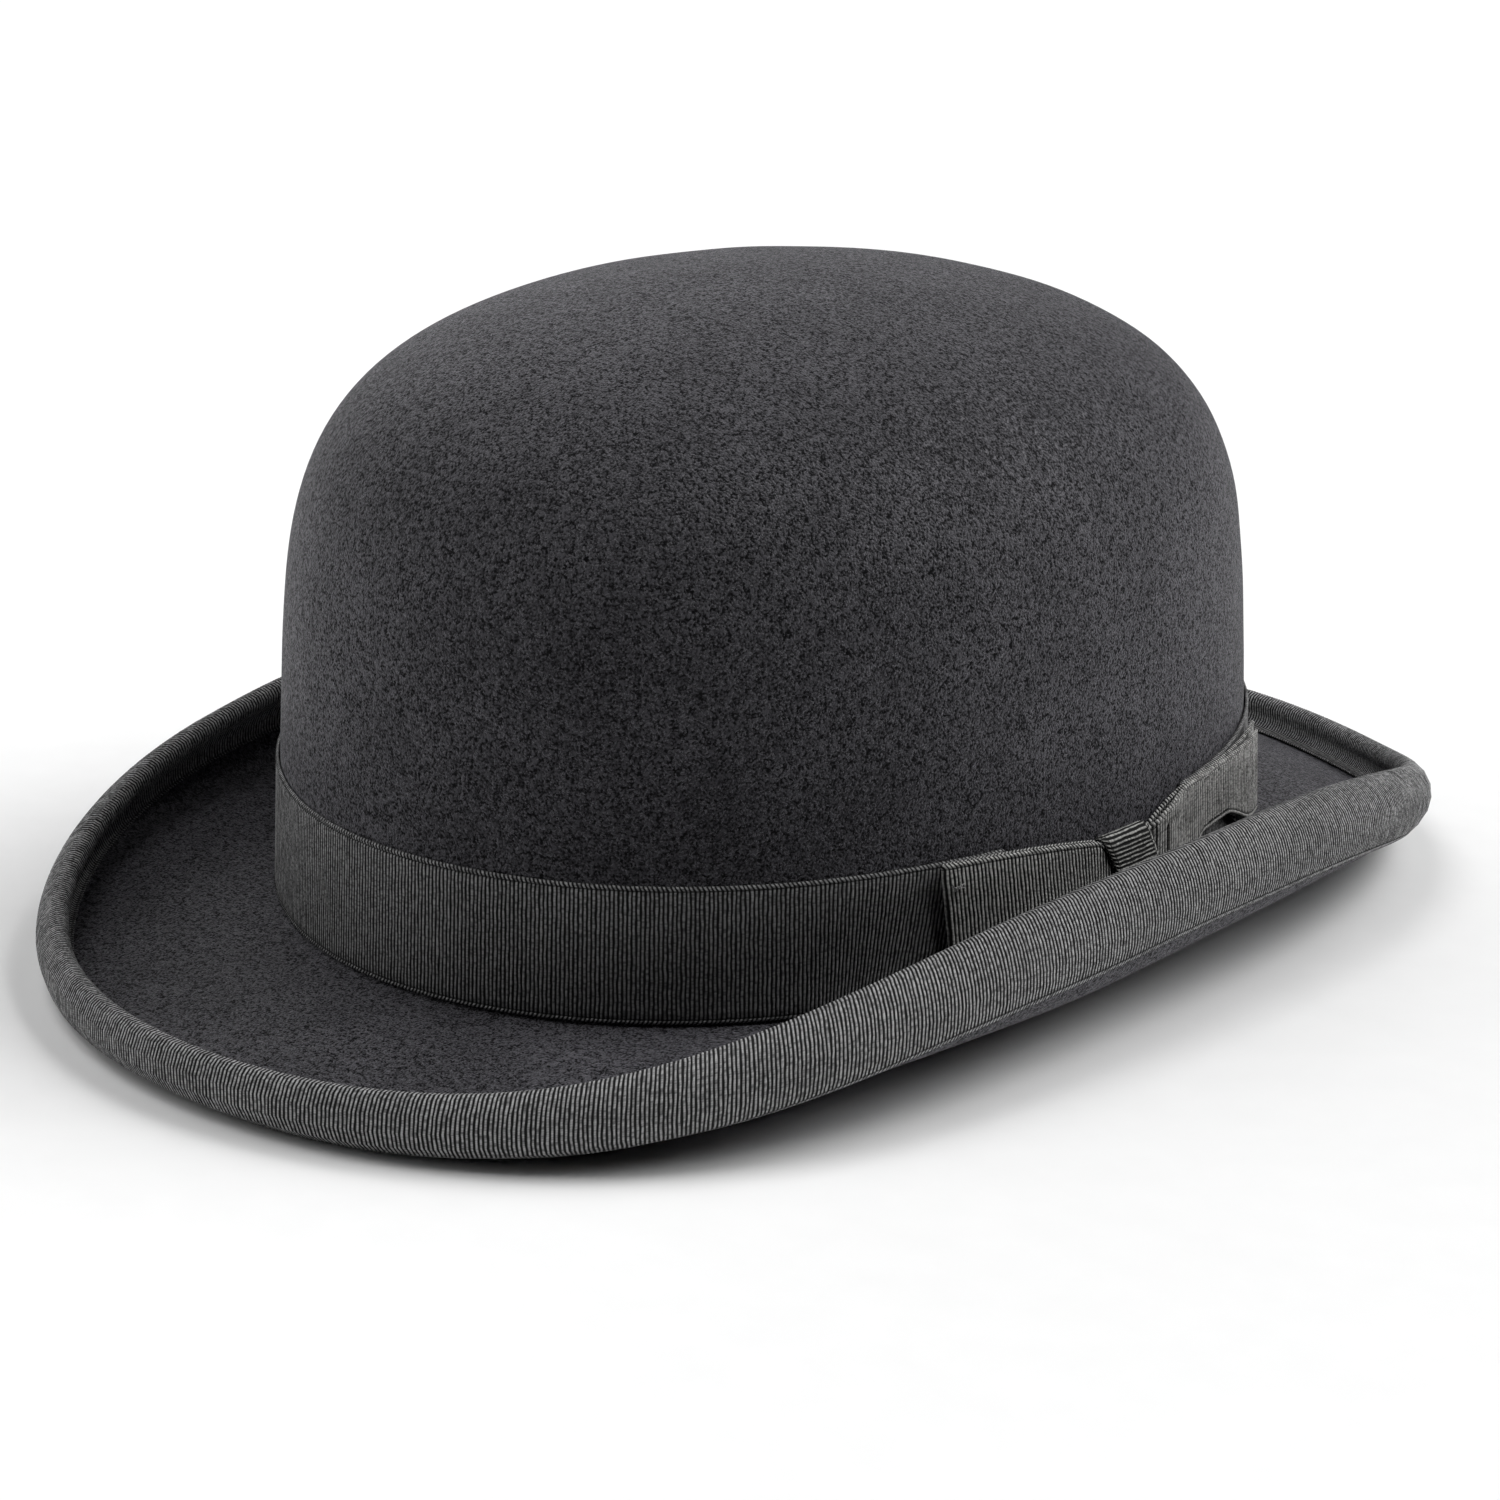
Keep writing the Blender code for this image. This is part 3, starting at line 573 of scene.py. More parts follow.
def brim_binding():
    """Ribbon folded over the brim's edge, its ribs square to the edge."""
    near = BRIM_HALF + GAP
    far = near + RIBBON
    edge = lambda theta: brim(theta, brim_width(theta) - 2 * MM, -far)
    length = even_thetas(edge, 10)[1]
    count = int(round(length / RIB_PITCH))
    theta = even_thetas(edge, count * RIB_STEPS)[0][:-1]
    place, ridge = rib_columns(count, True)
    relief = 0.12 * MM * (ridge - 0.6) * (1.0 + 0.25 * rng.normal(size=count).repeat(RIB_STEPS))
    width = brim_width(theta)
    inner = width - BINDING_INNER_WIDTH
    outer = width - BINDING_OUTER_WIDTH
    wander_in = 0.25 * MM * waves(theta, 14, 21)
    wander_out = 0.18 * MM * waves(theta, 17, 22)
    scallop = 0.10 * MM * (1.0 - ridge)
    rows = []
    across = []

    def add(along, offset, ahead, mark):
        rows.append(brim(theta, along, offset, ahead))
        across.append(mark)

    bead = 0.10 * MM
    add(inner + wander_in + scallop, near + 0.1 * MM, 0.0, 0.0)
    add(inner + wander_in + scallop, far - 0.1 * MM + bead * ridge, 0.0, 0.25)
    for away in (0.35, 0.75):
        add(inner + wander_in + away * MM, far + relief + bead * (0.8 - away), 0.0, away)
    for share in (0.2, 0.42, 0.64, 0.84, 1.0):
        add(mix(inner, width, share), far + relief, 0.0, 12.0 * share)
    for around in (36, 72, 108, 144):
        turn = radians(around)
        add(width, (far + relief) * cos(turn), (far + relief) * sin(turn), 12.0 + around / 30.0)
    for share in (1.0, 0.86, 0.70, 0.54, 0.38, 0.2):
        add(mix(outer, width, share), -far - relief, 0.0, 18.0 + 12.9 * (1.0 - share))
    for away in (0.75, 0.35):
        add(outer + wander_out + away * MM, -far - relief - bead * (0.8 - away), 0.0, 30.9 - away)
    add(outer + wander_out + scallop, -far + 0.1 * MM - bead * ridge, 0.0, 30.7)
    add(outer + wander_out + scallop, -near - 0.1 * MM, 0.0, 31.0)
    for share in (0.5, 1.0):
        add(mix(outer, width, share), -near, 0.0, 31.0 + 13 * share)
    for around in (135, 90, 45):
        turn = radians(around)
        add(width, near * cos(turn), near * sin(turn), 48.0 - around / 45.0)
    for share in (1.0, 0.5):
        add(mix(inner, width, share), near, 0.0, 49.0 + 12 * (1.0 - share))
    points = np.stack(rows)
    points[..., 2] = np.maximum(points[..., 2], 0.0)
    item = grid_piece("binding_ribbon", points, place, across, BINDING_CLOTH, around=True, across=True)
    finish_cloth(item, "grosgrain_ribbon", "brim_binding", (0.0309, length), "folded", "felt_body")


def upright_ribbon(name, theta_line, shape, count, material, cells=(0.12, 0.3, 0.5, 0.7, 0.88), tuck=None,
                   skew=None):
    """Ribbon standing against the crown.  theta_line holds angles at even steps along
    it; shape(theta) gives the middle's offset, and the bottom and top heights."""
    place, ridge = rib_columns(count, False)
    theta = np.interp(place / count, np.linspace(0, 1, len(theta_line)), theta_line)
    uneven = 1.0 + 0.22 * rng.normal(size=count + 1).repeat(RIB_STEPS)[:len(place)]
    relief = 0.12 * MM * (ridge - 0.6) * uneven
    offset, bottom, top = shape(theta)
    scallop = 0.14 * MM * (1.0 - ridge)
    half = RIBBON / 2
    rows = []
    across = []
    height = np.mean(top - bottom)

    def add(level, away, mark):
        if tuck is not None and 0 < mark < 2 * height:
            away = away + tuck(np.degrees(theta), level) * (1.0 if mark <= height else 0.6)
        lean = 0.0 if skew is None else skew(np.degrees(theta), level)
        rows.append(wall(theta + np.radians(lean), level, away))
        across.append(mark / MM)

    add(bottom + scallop, offset - half * 0.2, 0.0)
    for up, swell in SELVEDGE:
        add(bottom + up * MM, offset + half + relief + swell * MM, up * MM)
    for share in cells:
        add(mix(bottom, top, share), offset + half + relief, height * share)
    for up, swell in SELVEDGE[::-1]:
        add(top - up * MM, offset + half + relief + swell * MM, height - up * MM)
    add(top - scallop, offset - half * 0.2, height)
    add(top - scallop, offset - half, height + 0.5 * MM)
    back = len(rows) - 1
    for share in np.linspace(1.0, 0.0, back)[1:-1]:
        add(mix(bottom + 0.1 * MM, top - 0.1 * MM, share), offset - half, 2 * height - height * share)
    add(bottom + scallop, offset - half, 2 * height)
    return grid_piece(name, rows, place, across, material, across=True, caps=True)


def hat_band():
    """Band ribbon around the crown's foot, open where the bow covers its two ends."""
    middle = lambda theta: wall(theta, BAND_WIDTH / 2, 0.8 * MM)
    theta, length = even_thetas(middle, 4000, radians(100.0), radians(432.6))
    count = int(round(length / RIB_PITCH))

    def shape(angle):
        ease = 0.12 * MM * waves(angle, 13, 31)
        return (GAP + RIBBON / 2 + 0.02 * MM * waves(angle, 9, 5),
                0.12 * MM + ease * 0.5, BAND_WIDTH + ease)

    def skew(degree, level):
        """The ribs lean back a little beside the bow's front loop."""
        beside = smooth((degree - 410.0) / 14.0) * smooth((436.0 - degree) / 6.0)
        return -2.4 * beside * np.clip(1.0 - level / BAND_WIDTH, 0.0, 1.0) ** 1.3

    item = upright_ribbon("band_ribbon", theta, shape, count, BAND_CLOTH, np.linspace(0.1, 0.9, 8), skew=skew)
    finish_cloth(item, "grosgrain_ribbon", "hat_band", (BAND_WIDTH, length), "stretched", "felt_body")


# ---------------------------------------------------------------- bow

BOW_FOLD = 65.2
BOW_BASE_FRONT = 66.6
BOW_BASE_REAR = 122.6
LOOP_HIDDEN_END = 87.4
LOOP_BACK_OFFSET = 1.75 * MM
LOOP_FOLD_OFFSET = 2.45 * MM
LOOP_TOP = 25.2 * MM
LOOP_BOTTOM = 0.8 * MM
TAIL_HIDDEN_START = 90.8
TAIL_END = 119.4
TUCK = 95.1
TAIL_TOP = 25.2 * MM
TAIL_BOTTOM = 8.4 * MM
KNOT_FRONT = 84.4
KNOT_REAR = 91.4
KNOT_LEAN = 1.5
KNOT_TOP = 22.6 * MM
KNOT_BOTTOM = 3.8 * MM
PINCH_TOP = 20.8 * MM
PINCH_BOTTOM = 5.2 * MM
PER_DEGREE = HALF_LENGTH * 0.98 * pi / 180


def loop_top(degree):
    """The front loop sinks a little towards the knot and rounds down where it goes in."""
    sink = np.clip((degree - 68.0) / 17.2, 0.0, 1.0)
    corner = np.clip((degree - 83.6) / 2.6, 0.0, 1.0)
    return LOOP_TOP - 3.3 * MM * sink ** 2 - 6.3 * MM * corner ** 2


def loop_bottom(degree):
    return LOOP_BOTTOM + (LOOP_TOP - loop_top(degree)) * 0.9


def tail_share(degree):
    """0 under the knot and 1 where the ribbon has its full width behind it."""
    short = 1.0 - np.clip((degree - 92.2) / 9.0, 0.0, 1.0)
    return 1.0 - short * short


def bow_base():
    """Flat ribbon under both wings, drawn in where the knot holds it."""
    def shape(theta):
        degree = np.degrees(theta)
        lift = smooth((degree - TAIL_END + 14.0) / 17.0) * 1.1 * MM
        spread = tail_share(degree)
        ahead = degree < 92.2
        inset = 0.9 * MM
        raised = 12.4 * MM * smooth((degree - 98.5) / 4.0) * smooth((117.5 - degree) / 6.0)
        low = np.where(ahead, loop_bottom(degree) + inset, mix(PINCH_BOTTOM, LOOP_BOTTOM, spread) + raised)
        front = np.minimum(loop_top(degree), PINCH_TOP + 3.3 * MM) - inset
        high = np.where(ahead, front, mix(PINCH_TOP, TAIL_TOP, spread) - inset / 4)
        return 1.35 * MM + lift, low, high

    count = int((BOW_BASE_REAR - BOW_BASE_FRONT) * PER_DEGREE / RIB_PITCH)
    ends = np.radians([BOW_BASE_FRONT, BOW_BASE_REAR])
    item = upright_ribbon("bow_under_ribbon", ends, shape, count, BOW_CLOTH)
    flat = (BAND_WIDTH, count * RIB_PITCH)
    finish_cloth(item, "grosgrain_ribbon", "bow_base_ribbon", flat, "folded", "hat_band")


def bow_wing():
    """Cut ribbon end that fans out behind the knot, with a small tuck beside the knot."""
    def shape(theta):
        degree = np.degrees(theta)
        spread = tail_share(degree)
        lift = 1.9 * MM * smooth((degree - 104.0) / 15.4)
        puff = 1.0 * MM * smooth((degree - 92.0) / 1.5) * smooth((100.0 - degree) / 5.0)
        raised = 4.9 * MM * smooth((degree - 99.0) / 5.0) * smooth((117.0 - degree) / 8.0)
        return LEAF_OFFSET + lift + puff, mix(PINCH_BOTTOM, TAIL_BOTTOM, spread) + raised, mix(
            PINCH_TOP, TAIL_TOP, spread)

    def tuck(degree, height):
        """A short upright slit with a faint stitched crease running back from its top."""
        beside = smooth((height - 6.5 * MM) / MM) * smooth((20.0 * MM - height) / MM)
        slit = -1.4 * MM * np.exp(-((degree - TUCK) / 0.20) ** 2) * beside
        crease = np.exp(-((height - 20.0 * MM) / (0.5 * MM)) ** 2) * smooth(
            (degree - 94.6) / 0.5) * smooth((101.0 - degree) / 5.0)
        return slit - 0.22 * MM * crease

    count = int((TAIL_END - TAIL_HIDDEN_START) * PER_DEGREE / RIB_PITCH)
    ends = np.radians([TAIL_HIDDEN_START, TAIL_END])
    item = upright_ribbon("bow_tail", ends, shape, count, TAIL_CLOTH, np.linspace(0.10, 0.90, 24), tuck)
    flat = (0.015, count * RIB_PITCH)
    finish_cloth(item, "grosgrain_ribbon", "bow_rear_wing", flat, "folded", "bow_base_ribbon")
    # Painted shadow: a dark thread tube laid along the slit stands in for the slit's deep shade.
    height = np.linspace(8.0, 19.6, 12) * MM
    thread = wall(np.radians(TUCK), height, LEAF_OFFSET + 0.55 * MM)
    item = tubes("bow_tuck_shadow_thread", [thread], 0.3 * MM, THREAD, 6)
    finish_piece(item, "bow_rear_wing")


def along_path(path, count):
    """Even points on a line of (run, offset) pairs, with the line's unit normals."""
    path = np.array(path, dtype=float)
    for _ in range(3):
        low = path[:-1] * 0.75 + path[1:] * 0.25
        high = path[:-1] * 0.25 + path[1:] * 0.75
        path = np.concatenate([path[:1], np.stack([low, high], axis=1).reshape(-1, 2), path[-1:]])
    length = np.concatenate([[0], np.cumsum(np.linalg.norm(np.diff(path, axis=0), axis=1))])
    wanted = np.linspace(0, length[-1], count)
    line = np.stack([np.interp(wanted, length, path[:, k]) for k in (0, 1)], axis=1)
    ahead = unit(np.gradient(line, axis=0))
    return line, np.stack([-ahead[:, 1], ahead[:, 0]], axis=1), length[-1]


def bow_loop():
    """Ribbon loop: back leaf, round fold at the front, outer leaf into the knot."""
    path = [(degree * PER_DEGREE, LOOP_BACK_OFFSET)
            for degree in np.linspace(LOOP_HIDDEN_END, BOW_FOLD + 0.3, 12)]
    path.append(((BOW_FOLD - 0.30) * PER_DEGREE, LOOP_BACK_OFFSET + 0.1 * MM))
    path.append(((BOW_FOLD - 0.40) * PER_DEGREE, (LOOP_BACK_OFFSET + LOOP_FOLD_OFFSET) / 2))
    path.append(((BOW_FOLD - 0.30) * PER_DEGREE, LOOP_FOLD_OFFSET - 0.1 * MM))
    for share in np.linspace(0.02, 1.0, 14):
        puff = LOOP_FOLD_OFFSET + 0.55 * MM * smooth(share / 0.5) + 0.15 * MM * smooth(share / 0.9 - 0.3)
        path.append((mix(BOW_FOLD, LOOP_HIDDEN_END, share) * PER_DEGREE, puff))
    length = along_path(path, 10)[2]
    count = int(length / RIB_PITCH)
    place, ridge = rib_columns(count, False)
    line, normal, length = along_path(path, len(place))
    degree = line[:, 0] / PER_DEGREE
    bottom = loop_bottom(degree)
    top = loop_top(degree)
    relief = 0.10 * MM * (ridge - 0.6)
    scallop = 0.14 * MM * (1.0 - ridge)
    rows = []
    across = []
    half = RIBBON / 2

    def add(height, away, mark):
        spot = line + normal * away[:, None]
        share = np.clip((height - bottom) / (top - bottom), 0.0, 1.0)
        lean = 1.5 * (1.0 - share) - 2.6 * (np.maximum(0.38 - share, 0.0) / 0.38) ** 2
        lean = lean * smooth((LOOP_HIDDEN_END - spot[:, 0] / PER_DEGREE) / 8.0)
        rows.append(wall(np.radians(spot[:, 0] / PER_DEGREE + lean), height, spot[:, 1]))
        across.append(mark)

    zero = 0 * ridge
    shares = (0.08, 0.2, 0.35, 0.5, 0.65, 0.8, 0.92)
    add(bottom + scallop, zero, 0.0)
    for up, swell in SELVEDGE:
        add(bottom + up * MM, half + relief + swell * MM, up)
    for share in shares:
        add(mix(bottom, top, share), half + relief, 25.0 * share)
    for up, swell in SELVEDGE[::-1]:
        add(top - up * MM, half + relief + swell * MM, 25.0 - up)
    add(top - scallop, zero, 25.0)
    add(top - scallop - 0.1 * MM, -half + zero, 25.4)
    for share in np.linspace(0.98, 0.0, len(rows) - 3):
        add(mix(bottom + 0.1 * MM, top - 0.1 * MM, share), -half + zero, 51.0 - 25.0 * share)
    add(bottom + scallop + 0.05 * MM, -half * 0.6 + zero, 51.6)
    item = grid_piece("bow_loop", rows, place, across, BOW_CLOTH, across=True, caps=True)
    flat = (BAND_WIDTH, length)
    finish_cloth(item, "grosgrain_ribbon", "bow_front_loop", flat, "folded", "bow_base_ribbon")


def bow_knot():
    """Short ribbon wrapped over the bow's middle: thick ribs that run along the band."""
    outline = [(0.9, 0.9), (1.6, 0.35), (2.8, 0.2), (3.7, 0.9), (4.05, 2.8)]
    path = [(out * MM, KNOT_TOP - down * MM) for out, down in outline]
    path.append((4.1 * MM, (KNOT_TOP + KNOT_BOTTOM) / 2))
    path += [(out * MM, KNOT_BOTTOM + down * MM) for out, down in outline[::-1]]
    length = along_path(path, 10)[2]
    count = int(length / (0.86 * MM))
    place, ridge = rib_columns(count, False)
    line, normal, length = along_path(path, len(place))
    relief = 0.26 * MM * (ridge - 0.7)
    half = 0.25 * MM
    stations = np.concatenate([[0.0, 0.015, 0.05], np.linspace(0.12, 0.88, 9), [0.95, 0.985, 1.0]])
    rows = []
    across = []

    def add(share, away, mark):
        spot = line + normal * away[:, None]
        squeeze = 0.25 * np.sin(np.linspace(0, pi, len(ridge))) * (share - 0.5)
        lean = KNOT_LEAN * smooth((KNOT_TOP - spot[:, 1]) / (8 * MM))
        degree = mix(KNOT_FRONT, KNOT_REAR, share) + lean - squeeze
        rows.append(wall(np.radians(degree), spot[:, 1], spot[:, 0]))
        across.append(mark)

    tuck = lambda share: -0.25 * MM * (1.0 - smooth(min(share, 1.0 - share) / 0.06))
    zero = 0 * ridge
    for share in stations:
        add(share, half + relief + tuck(share) + zero, 13.0 * share)
    for share in stations[::-1]:
        add(share, -half + zero, 26.0 - 13.0 * share)
    item = grid_piece("bow_knot_wrap", rows, place, across, KNOT_CLOTH, across=True, caps=True)
    finish_cloth(item, "grosgrain_ribbon", "bow_knot", (0.013, length), "folded", "bow_rear_wing")


# ---------------------------------------------------------------- stitches outside

def binding_stitches():
    """Hem stitches along the binding's outer edge."""
    edge = lambda theta: brim(theta, brim_width(theta) - BINDING_OUTER_WIDTH, -2 * MM)
    theta, length = even_thetas(edge, 4000)
    count = int(length / (2.6 * MM))
    arch = 0.12 * MM * (1.0 - np.linspace(-1, 1, 7) ** 4 * 1.6)
    lines = []
    for index in range(count):
        share = (index + 0.5 + np.linspace(-0.5, 0.5, 7) * 0.7) / count
        angle = np.interp(share, np.linspace(0, 1, 4001), theta)
        along = brim_width(angle) - BINDING_OUTER_WIDTH - 0.35 * MM
        lines.append(brim(angle, along, -BRIM_HALF - 0.12 * MM - arch))
    item = tubes("binding_hem_stitches", lines, 0.17 * MM, THREAD)
    finish_piece(item, "binding_stitch")


def bow_tack():
    """Tuft of tacking thread ends on the front loop."""
    spots = [
        [(65.7, 21.7, 0.0), (65.8, 21.1, 0.5), (66.0, 20.5, 0.2), (66.4, 20.1, 0.0)],
        [(65.6, 21.2, 0.0), (66.0, 20.8, 0.6), (66.6, 21.1, 0.7), (67.2, 21.4, 0.1)],
        [(65.9, 20.0, 0.0), (66.2, 20.6, 0.7), (66.8, 20.8, 0.5), (67.3, 20.2, 0.0)],
    ]
    base = LOOP_FOLD_OFFSET + RIBBON / 2 + 0.25 * MM
    lines = []
    for line in spots:
        spot = np.array(line)
        t = np.linspace(0, len(line) - 1, 9)
        degree, height, lift = (np.interp(t, np.arange(len(line)), column) for column in spot.T)
        lines.append(wall(np.radians(degree), height * MM, base + lift * MM * 0.6))
    item = tubes("bow_tack_threads", lines, 0.13 * MM, TACK_THREAD)
    finish_piece(item, "bow_tack")


# ---------------------------------------------------------------- inside

SWEATBAND_WIDTH = 50.0 * MM
SWEATBAND_OFFSET = -3.4 * MM
SWEATBAND_THICKNESS = 1.0 * MM
REED_OFFSET = -3.9 * MM
REED_HEIGHT = -1.4 * MM
REED_RADIUS = 0.7 * MM
TAPE_THICKNESS = 0.3 * MM


def sweatband():
    """Leather turned up inside the crown: a thinned lower edge, a pressed line, butted ends."""
    first = radians(180.3)
    last = radians(539.7)
    theta = np.linspace(first, last, 900)
    inner = SWEATBAND_OFFSET - SWEATBAND_THICKNESS
    top = SWEATBAND_WIDTH + 0.35 * MM * waves(theta, 8, 41)
    ends = np.minimum(theta - first, last - theta) * 85 * MM
    curl = 0.5 * MM * (1.0 - smooth(ends / (2.5 * MM)))
    ease = 0.22 * MM * waves(theta, 10, 43)
    heights = [0.6, 0.9, 1.6, 3.0, 4.4, 6.4, 7.4, 7.8, 8.1, 8.4, 8.8, 10.0, 13.0, 17.0, 22.0, 27.0,
               32.0, 37.0, 42.0, 46.0, 48.8, 49.6, 50.0]

    def rolled(height):
        return MM * (1.0 - smooth(min(height - 0.6, 50.0 - height) / 0.7))

    rows = []
    for height in heights:
        press = 0.22 * MM * np.exp(-((height - 8.1) / 0.35) ** 2)
        shift = ease * smooth(height / 50.0)
        away = inner + press + 0.3 * rolled(height) - curl * 0.4 + shift * 0.5
        rows.append(wall(theta, height * MM * top / SWEATBAND_WIDTH, away))
    for height in heights[::-1]:
        away = SWEATBAND_OFFSET - 0.2 * rolled(height) - curl * 0.2
        rows.append(wall(theta, height * MM * top / SWEATBAND_WIDTH, away))
    across = heights + [100.0 - height for height in heights[::-1]]
    item = grid_piece("leather_sweatband", rows, theta * 90, across, LEATHER, across=True, caps=True)
    finish_cloth(item, "sweatband_leather", "sweatband", (0.0494, 0.585), "stretched", "reed_tape")


def reed_and_tape():
    """Round reed in a folded tape, one leg each side of the leather's lower edge."""
    clear = REED_RADIUS + GAP + TAPE_THICKNESS / 2
    path = [(REED_OFFSET + clear, 6.0 * MM), (REED_OFFSET + clear, REED_HEIGHT + 0.2 * MM)]
    for turn in (-30, -60, -90, -120, -150):
        path.append((REED_OFFSET + clear * cos(radians(turn)), REED_HEIGHT + clear * sin(radians(turn))))
    path += [(REED_OFFSET - clear, REED_HEIGHT + 0.2 * MM), (REED_OFFSET - clear, 3.8 * MM)]
    line, normal, length = along_path(path, 22)
    middle = lambda theta: wall(theta, REED_HEIGHT, REED_OFFSET)
    ring = even_thetas(middle, 10)[1]
    count = int(ring / (0.9 * MM))
    theta = even_thetas(middle, count * 2)[0][:-1]
    place = np.arange(count * 2) / 2
    ridge = 0.06 * MM * (np.arange(count * 2) % 2)
    rows = []
    across = []
    for index in range(len(line)):
        out, up = line[index] - normal[index] * TAPE_THICKNESS / 2
        rows.append(wall(theta, up - ridge * normal[index][1], out - ridge * normal[index][0]))
        across.append(index * length / MM / 22)
    for index in range(len(line))[::-1]:
        out, up = line[index] + normal[index] * TAPE_THICKNESS / 2
        rows.append(wall(theta, up, out))
        across.append(30.0 - index * length / MM / 22)
    item = grid_piece("reed_tape_cloth", rows, place, across, TAPE_CLOTH, around=True, across=True)
    finish_cloth(item, "reed_tape", "reed_tape", (length, ring), "folded", "sweatband")
    turns = np.linspace(0, TURN, 12, endpoint=False)
    angle = np.linspace(0, TURN, 480, endpoint=False)
    rows = [wall(angle, REED_HEIGHT + REED_RADIUS * sin(turn), REED_OFFSET + REED_RADIUS * cos(turn))
            for turn in turns]
    reed = grid_piece("reed_rod", rows, angle * 90, turns * 0.7, REED_PLASTIC, around=True, across=True)
    finish_piece(reed, "sweatband_reed")


def sweatband_stitches():
    """Zigzag that holds the tape's inner leg to the leather."""
    clear = REED_OFFSET - REED_RADIUS - GAP - TAPE_THICKNESS - GAP
    middle = lambda theta: wall(theta, 2.8 * MM, clear)
    theta, length = even_thetas(middle, 4000)
    count = int(length / (1.9 * MM)) // 2 * 2
    lines = []
    for index in range(count):
        share = (index + np.linspace(0.04, 0.96, 6)) / count
        angle = np.interp(share, np.linspace(0, 1, 4001), theta)
        rise = np.linspace(-0.75, 0.75, 6) * (1 if index % 2 else -1)
        arch = 0.14 * MM * (1.0 - np.linspace(-1, 1, 6) ** 4)
        lines.append(wall(angle, (2.8 + rise) * MM, clear - arch + 0.12 * MM))
    item = tubes("sweatband_zigzag", lines, 0.16 * MM, LIGHT_THREAD)
    finish_piece(item, "sweatband_stitch")


def small_ring(name, node, half_length, near, far, half_width, place, ribs):
    """Flattened loop of narrow ribbon with its ribs across it."""
    middle = (near + far) / 2
    half_depth = abs(far - near) / 2
    thickness = 0.35 * MM
    count = ribs * RIB_STEPS
    turn = np.linspace(0, TURN, count, endpoint=False)
    push = lambda value: np.abs(value) ** 0.6 * np.sign(value)
    ridge = RIB_SHAPE[np.arange(count) % RIB_STEPS]
    rows = []
    across = []
    outline = [(0, share) for share in np.linspace(-1, 1, 9)] + [(1, share) for share in np.linspace(1, -1, 9)]
    for index, (inset, share) in enumerate(outline):
        relief = (0.07 * MM * (ridge - 1.0)) * (1 - inset)
        along = (half_length - inset * thickness + relief) * push(np.cos(turn))
        offset = middle + (half_depth - inset * thickness + relief) * push(np.sin(turn))
        rows.append(place(along, offset, share * half_width))
        across.append(index * half_width / MM / 4)
    item = grid_piece(name, rows, np.arange(count) / RIB_STEPS, across, BOW_CLOTH, around=True, across=True)
    finish_piece(item, node)


def back_bow():
    """Narrow ribbon bow over the sweatband's join."""
    height = 14.0 * MM

    def loops(along, offset, across):
        droop = 0.6 * MM * (along / (14 * MM)) ** 2
        flare = 1.0 + 0.18 * np.abs(along) / (14 * MM)
        return wall(pi + along / HALF_WIDTH, height + across * flare - droop, offset)

    def knot(along, offset, across):
        return wall(pi + across / HALF_WIDTH, height + along, offset)

    small_ring("sweatband_bow", "sweatband_bow_loops", 14 * MM, -5.6 * MM, -7.4 * MM, 2.5 * MM, loops, 76)
    small_ring("sweatband_bow_wrap", "sweatband_bow_knot", 3.6 * MM, -4.85 * MM, -8.15 * MM, 1.7 * MM, knot, 22)


LINING_SEAM = 0.918
SATIN_THICKNESS = 0.4 * MM


def lining():
    """Satin side gathered into an oval tip, with a rolled seam between them."""
    columns = 900
    theta = np.linspace(0, TURN, columns, endpoint=False)
    outer = -CROWN_WALL - GAP
    pleats = np.abs(np.sin(theta * 66 + 2.5 * waves(theta, 9, 51))) ** 1.4
    sag = waves(theta, 7, 53)
    levels = np.concatenate([[24 * MM / CROWN_HEIGHT, 0.30, 0.42, 0.47],
                             np.linspace(0.51, LINING_SEAM - 0.006, 26)])

    def side_row(level, inset):
        depth = smooth((level - 0.48) / 0.42)
        slack = 0.25 * MM * (sag + 1.6) * smooth((level - 0.46) / 0.1) * (1.0 - depth)
        fold = np.minimum(-1.1 * MM * pleats * depth ** 1.6 - slack, 0.0)
        return crown(theta, level, outer - inset + fold)

    rows = [side_row(level, 0.0) for level in levels]
    rows += [side_row(level, SATIN_THICKNESS) for level in levels[::-1]]
    across = np.concatenate([levels * 114.0, 260.0 - levels[::-1] * 114.0])
    side = grid_piece("lining_side_satin", rows, theta * 90, across, SATIN, around=True, across=True)
    finish_cloth(side, "satin_lining", "lining_side", (0.098, 0.62), "gathered", "felt_body")
    angle = np.linspace(0, TURN, 480, endpoint=False)
    shares = np.linspace(0.0, 1.0, 40)

    def tip_row(share, inset):
        puff = 0.42 * MM * waves(angle, 6, 61) * share * (1.0 - share)
        return crown(angle, 1.0 - (1.0 - LINING_SEAM) * share ** 2, outer - 0.35 * MM - inset + puff)

    rows = [tip_row(share, 0.0) for share in shares]
    rows += [tip_row(share, SATIN_THICKNESS) for share in shares[::-1]]
    across = np.concatenate([shares * 70, 150 - shares[::-1] * 70])
    item = grid_piece("lining_tip_satin", rows, angle * 60, across, SATIN, around=True)
    weld(item)
    finish_cloth(item, "satin_lining", "lining_tip", (0.108, 0.132), "stretched", "felt_body",
                 area=0.108 * 0.132 * pi / 4)


def reed_plastic():
    paint = Paint("reed plastic", Roughness=0.42)
    grain = paint.noise(paint.place(), 400.0, 3.0)
    paint.link(paint.colour(grain, (0.46, 0.44, 0.38), (0.62, 0.60, 0.54)), "Base Color")
    paint.bump(grain, 0.00005)
    return paint.material


REED_PLASTIC = reed_plastic()


# ---------------------------------------------------------------- studio

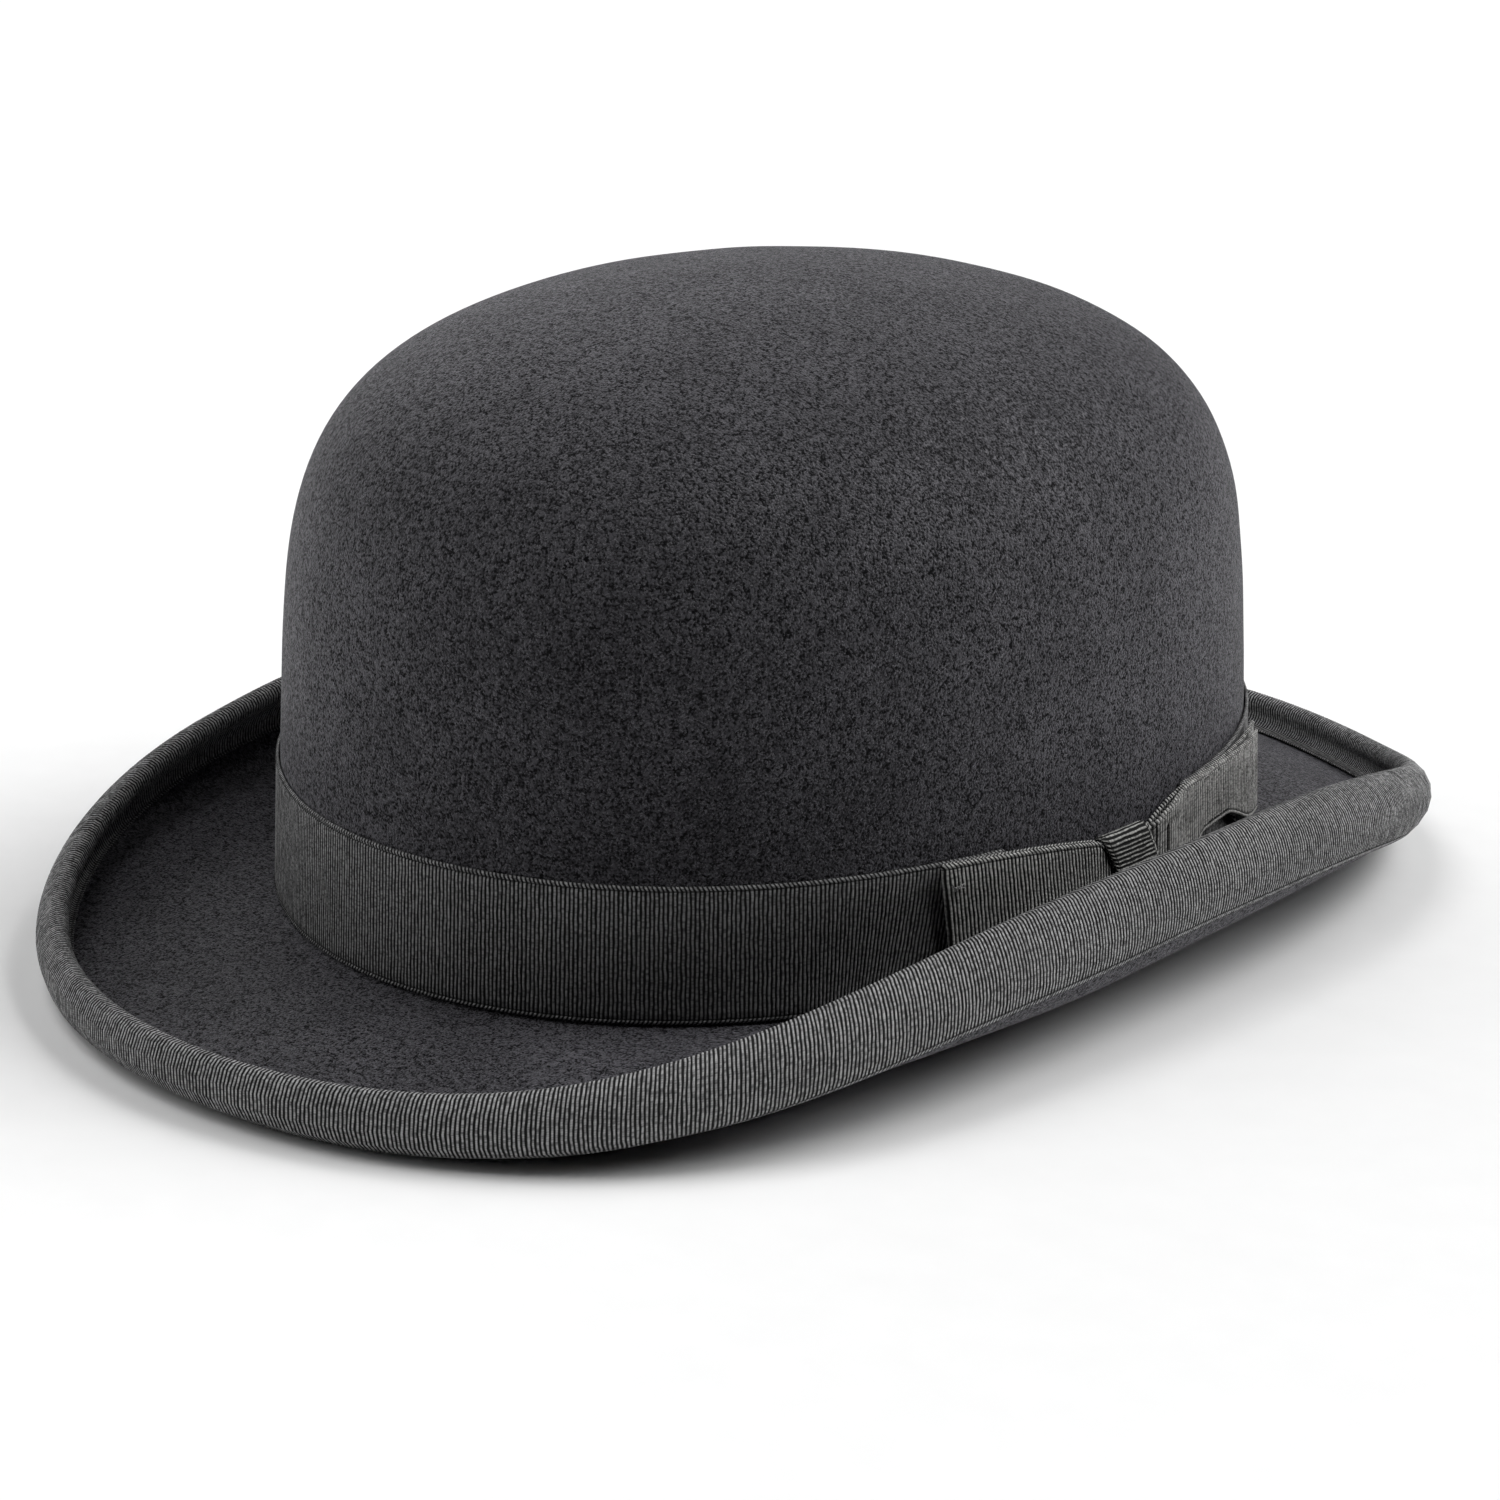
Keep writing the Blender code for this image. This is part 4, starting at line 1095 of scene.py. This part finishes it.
def floor():
    """Pale seamless floor."""
    mesh = bpy.data.meshes.new("floor")
    size = 40.0
    corners = [(x * size, y * size, -0.0003) for x, y in ((-1, -1), (1, -1), (1, 1), (-1, 1))]
    mesh.from_pydata(corners, [], [(0, 1, 2, 3)])
    paint = Paint("floor paper", Roughness=0.9)
    grain = paint.noise(paint.place(), 90.0, 4.0)
    paint.link(paint.colour(grain, (0.87, 0.87, 0.87), (0.91, 0.91, 0.91)), "Base Color")
    mesh.materials.append(paint.material)
    place_object("floor", mesh)


def towards(azimuth, elevation):
    """Direction from the hat; azimuth 0 is the front and 90 the wearer's left."""
    turn = radians(azimuth)
    rise = radians(elevation)
    return Vector((sin(turn) * cos(rise), -cos(turn) * cos(rise), sin(rise)))


LIGHT_DISTANCE = 9.6
LIGHT_SIZE = 5.4


def soft_light(name, azimuth, elevation, power):
    """Square soft box that faces the hat."""
    data = bpy.data.lights.new(name, "AREA")
    data.shape = "SQUARE"
    data.size = LIGHT_SIZE
    data.energy = power
    item = place_object(name, data)
    back = towards(azimuth, elevation)
    item.location = back * LIGHT_DISTANCE + Vector((0.0, 0.0, 0.05))
    item.visible_camera = False
    item.rotation_mode = "QUATERNION"
    item.rotation_quaternion = (-back).to_track_quat("-Z", "Y")


# Name: azimuth, elevation, watts
LIGHTS = {
    "key, right": (132.0, 45.0, 385.0),
    "key, right and behind": (162.0, 50.0, 365.0),
    "key, right and low": (147.0, 35.0, 235.0),
    "left, high": (-48.0, 70.0, 345.0),
    "left": (-48.0, 32.0, 115.0),
    "left, low": (-48.0, 12.0, 115.0),
    "behind and left": (-108.0, 20.0, 100.0),
    "left, towards the back": (-78.0, 20.0, 90.0),
    "behind": (222.0, 20.0, 90.0),
}


def studio():
    floor()
    world = bpy.data.worlds.new("studio air")
    world.use_nodes = True
    world.node_tree.nodes["Background"].inputs["Strength"].default_value = 0.0
    bpy.context.scene.world = world
    for name, facts in LIGHTS.items():
        soft_light(name, *facts)
    bpy.context.scene.view_settings.view_transform = "Standard"


def camera():
    azimuth = 41.969
    roll = radians(1.393)
    back = towards(azimuth, 18.252)
    level = towards(azimuth + 90.0, 0.0)
    up = back.cross(level)
    right = level * cos(roll) + up * sin(roll)
    up = up * cos(roll) - level * sin(roll)
    data = bpy.data.cameras.new("camera")
    data.sensor_width = 36.0
    data.lens = 84.47
    data.clip_start = 0.05
    data.clip_end = 30.0
    item = place_object("camera", data)
    centre = Vector((0.0, CENTRE_Y, FOOT_HEIGHT))
    place = centre + back * 0.70816 - right * 0.004421 + up * 0.014689
    turn = Matrix((right, up, back)).transposed()
    item.matrix_world = Matrix.Translation(place) @ turn.to_4x4()
    bpy.context.scene.camera = item


for build_piece in (
    felt_body, brim_binding, hat_band, bow_base, bow_wing, bow_loop, bow_knot, binding_stitches, bow_tack,
    sweatband, reed_and_tape, sweatband_stitches, back_bow, lining, studio, camera,
):
    build_piece()
